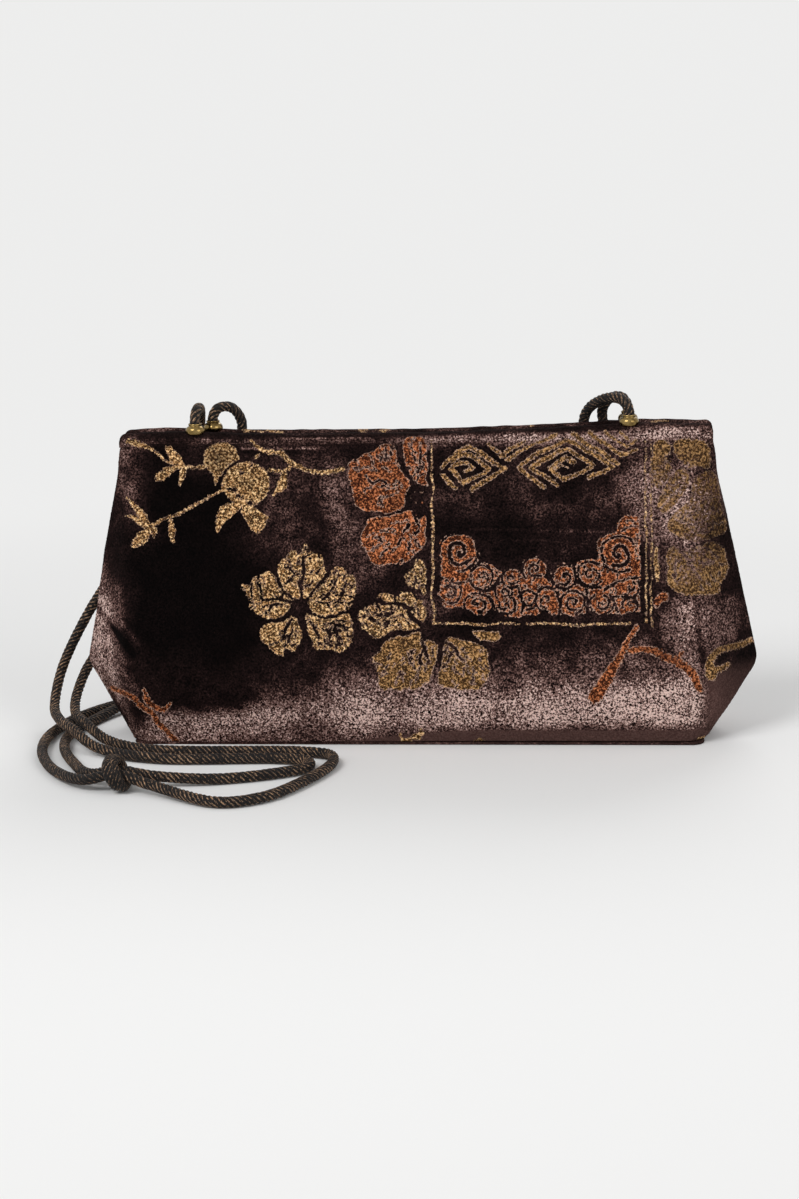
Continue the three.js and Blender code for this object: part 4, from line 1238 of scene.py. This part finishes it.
def make_velvet_panel(side, seed, finish):
    """Half of the body's velvet. The back is made where the front is, with mirrored ornament, and turned."""
    heights = np.linspace(PANEL_LOW[2], PANEL_HIGH[2], PANEL_ROWS + 1)
    grid = raised(velvet_plan(heights), heights)
    x, y, z = np.moveaxis(grid, -1, 0)
    seen = project(grid * (MIRROR_X if side == "back" else 1))
    metals = draw_ornament(*seen)
    if side == "back":
        at_edge = front_nap(*project(np.stack([-x, 0 * y, z], axis=-1)))
        nap = at_edge + (back_nap(x, z) - at_edge) * sloped(-y, 0.2, 12)
        pressed = FACET_PRESS * sloped(-x, FACET_X, 119) * sloped(FACET_TOP - z + 0.1 * x, 0, 8)
        edge_line = 0 * x
    else:
        edge_line = 1.0 + STRIP_RISE * sloped(x, STRIP_X, 30) * sloped(STRIP_END - x, 0, 6)
        strip = sloped(edge_line - z, -0.5, 0.6) * sloped(x, STRIP_X, -10)
        facet = sloped(x, FACET_X, 117) * sloped(FACET_TOP - z - 0.1 * x, 0, 8)
        pressed = np.clip(strip + FACET_PRESS * facet, 0, 1)
        nap = front_nap(*seen)
        # painted shade: the strip keeps a low sheen level where the velvet turns under
        nap = nap + (STRIP_SHADED_SHEEN - nap) * strip
    relief = panel_relief(x, z, seed) - STRIP_DEPTH * np.clip((edge_line - z) / 6, 0, 1)
    for hand, depth in FOLD_DEPTHS:
        fold = np.exp(-((hand * x - FOLD_X - 0.05 * (z - BELLY_Z)) / FOLD_WIDTH) ** 2)
        relief -= depth * fold * sloped(z, 8, 24) * sloped(FOLD_TOP - z, 0, 26)
    woven = np.max([sloped(depth, -0.2, 0.3) for depth in metals.values()], axis=0)
    rng = np.random.default_rng(seed)
    relief += rng.normal(0, PILE_GRAIN, relief.shape) * (1 - 0.6 * woven) - WEAVE_DEPTH * woven
    grid = grid + grid_normals(grid) * (relief * sloped(-y, 0.2, 3.0))[..., None]
    points, faces = shell_mesh(grid, VELVET_THICKNESS, PANEL_RATIO)
    inner = len(points) - x.size
    values = {"nap": nap, "pressed": pressed, "shine": front_shine(*seen), **metals}
    values = {
        key: np.concatenate([field.ravel(), np.full(inner, -DEEPEST_MM if key in METALS else UNSEEN_NAP)])
        for key, field in values.items()}
    if side == "back":
        points = points * HALF_TURN
    return make_piece(f"{side}_velvet", (points, faces), finish, "velvet", f"{side}_velvet_panel", **values)


# The rim's top line, as [share of half its length, height] rows
RIM_LINE = [
    (-1, 122.8), (-0.86, 123.9), (-0.52, 122.5), (0.05, 122.3), (0.45, 123.6), (0.76, 125.4), (1, 124.6),
]
RIM_STEP = 0.5
CHANNEL_OUTER_Y = 7.0
CHANNEL_INNER_Y = 3.3
RIM_HALF_LENGTH = 117.0
RIM_END_RADIUS = 3.0
RIM_END_TAPER = 3.0
RIM_TAPER_FROM = 111.4
RIM_OVERLAP = 0.55
RIM_FACE_Y = -6.0
RIM_ROUND = 2.6
RIM_FACE_POINTS = 15

# Creases along the rim's face, as [share of its height, depth], and their width
RIM_CREASES = [(0.34, 0.2), (0.62, 0.3), (0.86, 0.16)]
CREASE_WIDTH = 0.05


def rim_section(top, taper, gathers):
    """The rim's closed outline at one place as [y, z] points: over the bar and up its channel."""
    outer, inner, low = -RIM_LOW[1], -RIM_HIGH[1], RIM_LOW[2]
    centre = -(outer + inner) / 2
    half = (outer - inner) / 2
    rise = min(RIM_ROUND, (top - low) * 0.6)
    side = top - rise - low
    face = np.linspace(0, 0.94, RIM_FACE_POINTS)
    out = -outer + 0.34 * (1 - face) ** 1.5 + gathers * np.sin(math.pi * face)
    for share, depth in RIM_CREASES:
        out = out + depth * np.exp(-((face - share) / CREASE_WIDTH) ** 2)
    up = [(-outer + 0.42, low - RIM_OVERLAP), *zip(out, low + side * face)]
    over = [(centre - half * math.cos(a), top - rise + rise * math.sin(a))
            for a in np.linspace(0, math.pi, 21)]
    down = [(-inner - 0.02, low + 0.7 * side), (-inner, low + 0.4), (-inner, low)]
    # Only sections of full width have the bar's channel
    roof = max(low + 0.02, BAR_TOP + 0.3) if taper == 1 else low + 0.02
    inside = [(-CHANNEL_INNER_Y, low), (-CHANNEL_INNER_Y, roof), (-CHANNEL_OUTER_Y, roof),
              (-CHANNEL_OUTER_Y, low - RIM_OVERLAP)]
    points = np.array(up + over + down + inside)
    points[:, 0] = centre + (points[:, 0] - centre) * taper
    return points


def rim_flecks(x, y):
    """Bits of the gold weave that show along the back rim's top, as depths in millimetres."""
    o = Ornament(x + 0.8 * ripple(x, y, 9, 61), y + 0.8 * ripple(x, y, 9, 62))
    o.add("gold", *strokes([(254, 431, 2), (270, 431.5, 2.6), (284, 432, 1.6)]), blob(247, 430, 5, 1.8),
        blob(363, 430.5, 5, 1.5), blob(383, 430, 5, 1.5), blob(531, 425, 3, 1.2), blob(660, 421, 6, 1.2))
    return o.depths_mm()


def make_rim(side, seed, finish):
    """A velvet rim. The front one carries on the ornament of the panel below it."""
    half = RIM_HALF_LENGTH
    spread = np.linspace(-1, 1, int(2 * half / RIM_STEP))
    xs = half * (0.75 * spread + 0.25 * np.sin(spread * math.pi / 2))
    gathers = 0.07 + 0.07 * ripple(xs, 0, 7, seed) + 0.07 * ripple(xs, 0, 19, seed + 1)
    tops = from_table([(share * half, height) for share, height in RIM_LINE], xs, 5, 5)
    tops = tops + 0.16 * ripple(xs, 0, 11, seed + 2)
    past = np.maximum(np.abs(xs) - (half - RIM_END_RADIUS), 0)
    tops -= RIM_END_RADIUS - np.sqrt(np.maximum(RIM_END_RADIUS ** 2 - past ** 2, 0.02))
    narrow = 0.9999 * np.sqrt(np.clip((half - np.abs(xs)) / RIM_END_TAPER, 0.08, 1))
    tapers = np.where(np.abs(xs) < RIM_TAPER_FROM, 1.0, narrow)
    sections = [rim_section(*values) for values in zip(tops, tapers, np.clip(gathers, 0, 0.3))]
    rings = np.array([np.insert(section, 0, x, axis=1) for x, section in zip(xs, sections)])[::-1]
    points, faces = ring_tube(rings)
    x, y, z = points.T
    below_top = np.repeat(tops[::-1], rings.shape[1]) - z
    on_top = sloped(-below_top, -1.8, -0.5)
    low = RIM_LOW[2]
    face = np.clip((z - low) / np.maximum(z + below_top - RIM_ROUND - low, 0.5), 0, 1.6)
    broken = np.clip(0.5 + ripple(x, 0 * x, 12, seed + 7) + 0.6 * ripple(x, z, 3, seed + 8), 0, 1)
    lines = sum(broken * np.exp(-((face - share - 0.1) / CREASE_WIDTH) ** 2) for share, _ in RIM_CREASES)
    if side == "front":
        seen = project(points)
        metals = draw_ornament(*seen)
        shown = (y < RIM_FACE_Y) & (on_top < 0.5)
        # painted sheen from the front, a painted highlight at the right end, and less sheen on the top
        nap = (front_nap(*seen) * 0.8 + 0.38 * spot(*seen, 675, 429, 40, 8)) * (1 - 0.6 * on_top)
    else:
        points = points * MIRROR_Y
        faces = [face[::-1] for face in faces]
        metals = rim_flecks(*project(points))
        shown = below_top < 1.2
        nap = np.clip(0.16 + 0.14 * ripple(x, z, 33, seed + 4), 0.03, 1)
    metals = {metal: np.where(shown, field, field - DEEPEST_MM) for metal, field in metals.items()}
    # painted sheen along the rim's creases
    make_piece(
        f"{side}_rim_velvet", (points, faces), finish, "velvet", f"{side}_rim_cover", BODY_OF[side],
        nap=nap + 0.3 * lines + 0.06 * on_top, pressed=0.05, shine=0.8, **metals)


# The base's corner, and its soft edge as [inset, share of the height] rows
BASE_CORNER = 5.0
BASE_EDGE = [(0.55, 0.0), (0.15, 0.12), (0.0, 0.4), (0.0, 0.7), (0.2, 0.95), (0.6, 1.0)]


def make_velvet():
    woven = velvet_finish("velvet_with_ornament", True)
    plain = velvet_finish("plain_velvet", False)
    fold_with_frame(make_velvet_panel("front", 101, woven))
    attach(make_velvet_panel("back", 202, woven), "bag_body")
    base = rounded_plate(*box_mm("base_velvet_panel"), BASE_CORNER, 9, BASE_EDGE)
    make_piece("base_velvet", base, plain, "velvet", "base_velvet_panel", "bag_body", nap=0.2, pressed=0.3)
    make_rim("front", 301, woven)
    make_rim("back", 401, woven)


# Caps

CAP_SIDES = 72
CAP_HEIGHT = 5.2

# A cap's outline, as [radius, height] rows from under its neck to the floor of its socket
CAP_PROFILE = [
    (0.0, 2.3), (1.0, 2.3), (1.0, 0.0), (2.9, 0.0), (3.3, 0.14), (3.62, 0.45), (3.82, 0.9), (3.9, 1.4),
    (3.86, 1.9), (3.7, 2.4), (3.4, 2.85), (3.0, 3.2), (2.65, 3.4), (2.5, 3.52), (2.48, 3.66),
    (2.62, 3.8), (2.7, 4.02), (2.66, 4.26), (2.52, 4.42), (2.38, 4.46), (2.35, 4.38), (2.35, 3.4),
    (0.0, 3.4),
]


def make_cap(name, finish):
    low, high = box_mm(f"{name}_cord_cap")
    centre = (low + high) / 2
    angle = np.linspace(0, 2 * math.pi, CAP_SIDES, endpoint=False)
    radius, height = np.array(CAP_PROFILE).T
    height = low[2] + height * (high[2] - low[2]) / CAP_HEIGHT
    rings = [at_height(around(*centre[:2], r, angle), z) for r, z in zip(radius[1:-1], height[1:-1])]
    under = len(rings) * CAP_SIDES
    points = np.vstack([*rings, (*centre[:2], height[0]), (*centre[:2], height[-1])])
    faces = grid_faces(len(rings), CAP_SIDES, 0, True)
    for k in range(CAP_SIDES):
        after = (k + 1) % CAP_SIDES
        faces.append([under, after, k])
        faces.append([under + 1, under - CAP_SIDES + k, under - CAP_SIDES + after])
    body = BODY_OF[name.split("_")[0]]
    make_piece(f"{name}_brass_cap", (points, faces), finish, "cap_brass", f"{name}_cord_cap", body)


# Linings and the pocket

LINING_THICKNESS = 0.7
LINING_ROWS = 96
LINING_COLUMNS = 81

# The base lining's soft edge, as [inset as a share of half its thickness, share of the height] rows
LINING_EDGE = [(1, 0), (0.3, 0.15), (0, 0.5), (0.3, 0.85), (1, 1)]
POCKET_THICKNESS = 0.6


def lining_plan(z):
    depth = half_depth(z) - LINING_INSET
    width = LINING_HALF_WIDTH + 0 * z
    before = plan_points(width - LINING_CORNER, -depth)
    after = plan_points(width, np.minimum(LINING_CORNER - depth, -SEAM_HALF_GAP - 0.2))
    seam = plan_points(width, -SEAM_HALF_GAP)
    return mirrored(
        straight(plan_points(0, -depth), before, LINING_COLUMNS),
        bend(before, plan_points(width, -depth), after, 10), straight(after, seam, 13), seam[:, None])


def make_lining(side, seed, finish):
    heights = np.linspace(LINING_LOW[2], LINING_HIGH[2], LINING_ROWS + 1)
    grid = raised(lining_plan(heights), heights)
    x, y, z = np.moveaxis(grid, -1, 0)
    upper = sloped(z, 84, 95) * sloped(LINING_HIGH[2] - z, 0, 5)
    drape = 0.3 * ripple(x, z * 0.3, 18, seed) * (0.25 + 0.75 * upper)
    grid = grid - grid_normals(grid) * (np.abs(drape) * sloped(-y, 0.5, 3))[..., None]
    points, faces = shell_mesh(grid, LINING_THICKNESS, 4)
    if side == "back":
        points = points * HALF_TURN
    return make_piece(f"{side}_satin_lining", (points, faces), finish, "lining", f"{side}_lining")


def make_pocket(finish):
    """The slip pocket: a flat bag against the back lining, open above, with a turned hem."""
    low, high = box_mm("inner_slip_pocket")
    half = (high[0] - low[0]) / 2
    x, z = np.meshgrid(np.linspace(-half, half, 113), np.linspace(low[2], high[2], 41))
    fall = np.clip((np.abs(x / half) - 0.93) / 0.07, 0, 1) ** 2
    to_back = np.maximum(fall, np.clip((low[2] + 5 - z) / 5, 0, 1) ** 2)
    slack = 0.25 * ripple(x, z, 34, 77) - 0.35 * spot(x, z, 0, high[2], 30, 12)
    hem = -0.28 * np.exp(-((z - (high[2] - 6.5)) / 0.5) ** 2)
    y = np.maximum(low[1] + 0.6 + (slack + hem) * (1 - to_back), low[1])
    back_y = half_depth(z) - LINING_INSET - LINING_THICKNESS - 0.5
    grid = np.dstack([x, y + (back_y - y) * to_back, z])
    make_piece("slip_pocket_satin", shell_mesh(grid, POCKET_THICKNESS, 8), finish, "lining",
               "inner_slip_pocket", "bag_body")


def make_linings():
    finish = lining_finish()
    fold_with_frame(make_lining("front", 501, finish))
    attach(make_lining("back", 511, finish), "bag_body")
    low, high = box_mm("base_lining")
    rows = [(inset * (high[2] - low[2]) / 2, share) for inset, share in LINING_EDGE]
    base = rounded_plate(low, high, LINING_CORNER, 7, rows)
    make_piece("base_satin_lining", base, finish, "lining", "base_lining", "bag_body")
    make_pocket(finish)


# Finishes of the CAD pieces that show as they are

def dress_hardware():
    steel = metal_finish("frame_steel", colour(150, 151, 152), colour(112, 108, 102), 0.34, (0.08, 1, 1))
    pin_steel = metal_finish("pin_steel", colour(160, 160, 160), colour(120, 114, 106), 0.28, (1, 0.2, 1))
    nickel = metal_finish("magnet_nickel", colour(142, 140, 136), colour(104, 98, 90), 0.3, (1, 1, 0.2))
    dressed = (
        (steel, ("front_frame_bar", "back_frame_bar")),
        (pin_steel, ("left_hinge_pin", "right_hinge_pin", *(f"{name}_cap_stud" for name in CAPS))),
        (nickel, ("front_magnet", "back_magnet")),
        (board_finish(), ("front_stiffener_board", "back_stiffener_board", "base_board")),
    )
    for finish, nodes in dressed:
        for node in nodes:
            wear(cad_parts[node], finish)


# Floor, world and lights

FLOOR_TONE = (0.86, 0.86, 0.855, 1)
BACKGROUND_TONE = (0.85, 0.85, 0.845, 1)
WHITE = (1, 1, 1, 1)
AMBIENT = 0.4
FLOOR_HALF = 3000


def make_world():
    world = bpy.data.worlds.new("studio")
    bpy.context.scene.world = world
    world.use_nodes = True
    nodes = Nodes(world.node_tree)
    nodes.tree.nodes.clear()
    ambient = nodes.node("ShaderNodeBackground", {"Color": WHITE, "Strength": AMBIENT})
    pale = nodes.node("ShaderNodeBackground", {"Color": BACKGROUND_TONE})
    mixed = nodes.node("ShaderNodeMixShader", {0: nodes.seen_directly(), 1: ambient, 2: pale})
    nodes.node("ShaderNodeOutputWorld", {0: mixed})


def make_floor():
    """A pale floor that keeps the object's shadow and goes over into the background away from it."""
    corners = [(FLOOR_HALF * x, FLOOR_HALF * y, 0) for x, y in ((-1, -1), (1, -1), (1, 1), (-1, 1))]
    f = Finish("floor", Roughness=0.95, Base_Color=FLOOR_TONE, Specular_IOR_Level=0.1)
    away = f.node("ShaderNodeVectorMath", {0: f.place}, out="Value", operation="LENGTH")
    share = away.fit(0.24, 0.62) * f.seen_directly()
    pale = f.node("ShaderNodeEmission", {"Color": BACKGROUND_TONE})
    mixed = f.node("ShaderNodeMixShader", {0: share, 1: f.shader, 2: pale})
    f.feed(f.tree.nodes["Material Output"].inputs[0], mixed)
    wear(make_object("floor", corners, [[0, 1, 2, 3]]), f.material)


def area_light(name, place, size, power, target=(0, 0, 0.06)):
    data = bpy.data.lights.new(name, "AREA")
    data.shape = "DISK"
    data.size = size
    data.energy = power
    light = bpy.data.objects.new(name, data)
    light.location = place
    light.rotation_euler = (Vector(target) - Vector(place)).to_track_quat("-Z", "Y").to_euler()
    bpy.context.scene.collection.objects.link(light)


make_camera()
make_strap()
make_velvet()
brass = metal_finish("cap_brass", colour(140, 118, 74), colour(84, 66, 36), 0.2)
for cap_name in CAPS:
    make_cap(cap_name, brass)
make_linings()
dress_hardware()
make_world()
make_floor()
area_light("key_light", (-0.75, -1.05, 1.25), 0.9, 15)
area_light("fill_light", (1.1, -0.9, 0.75), 1.0, 7)
area_light("back_light", (0.3, 1.2, 1.1), 0.9, 7)
bpy.context.scene.view_settings.view_transform = "Standard"
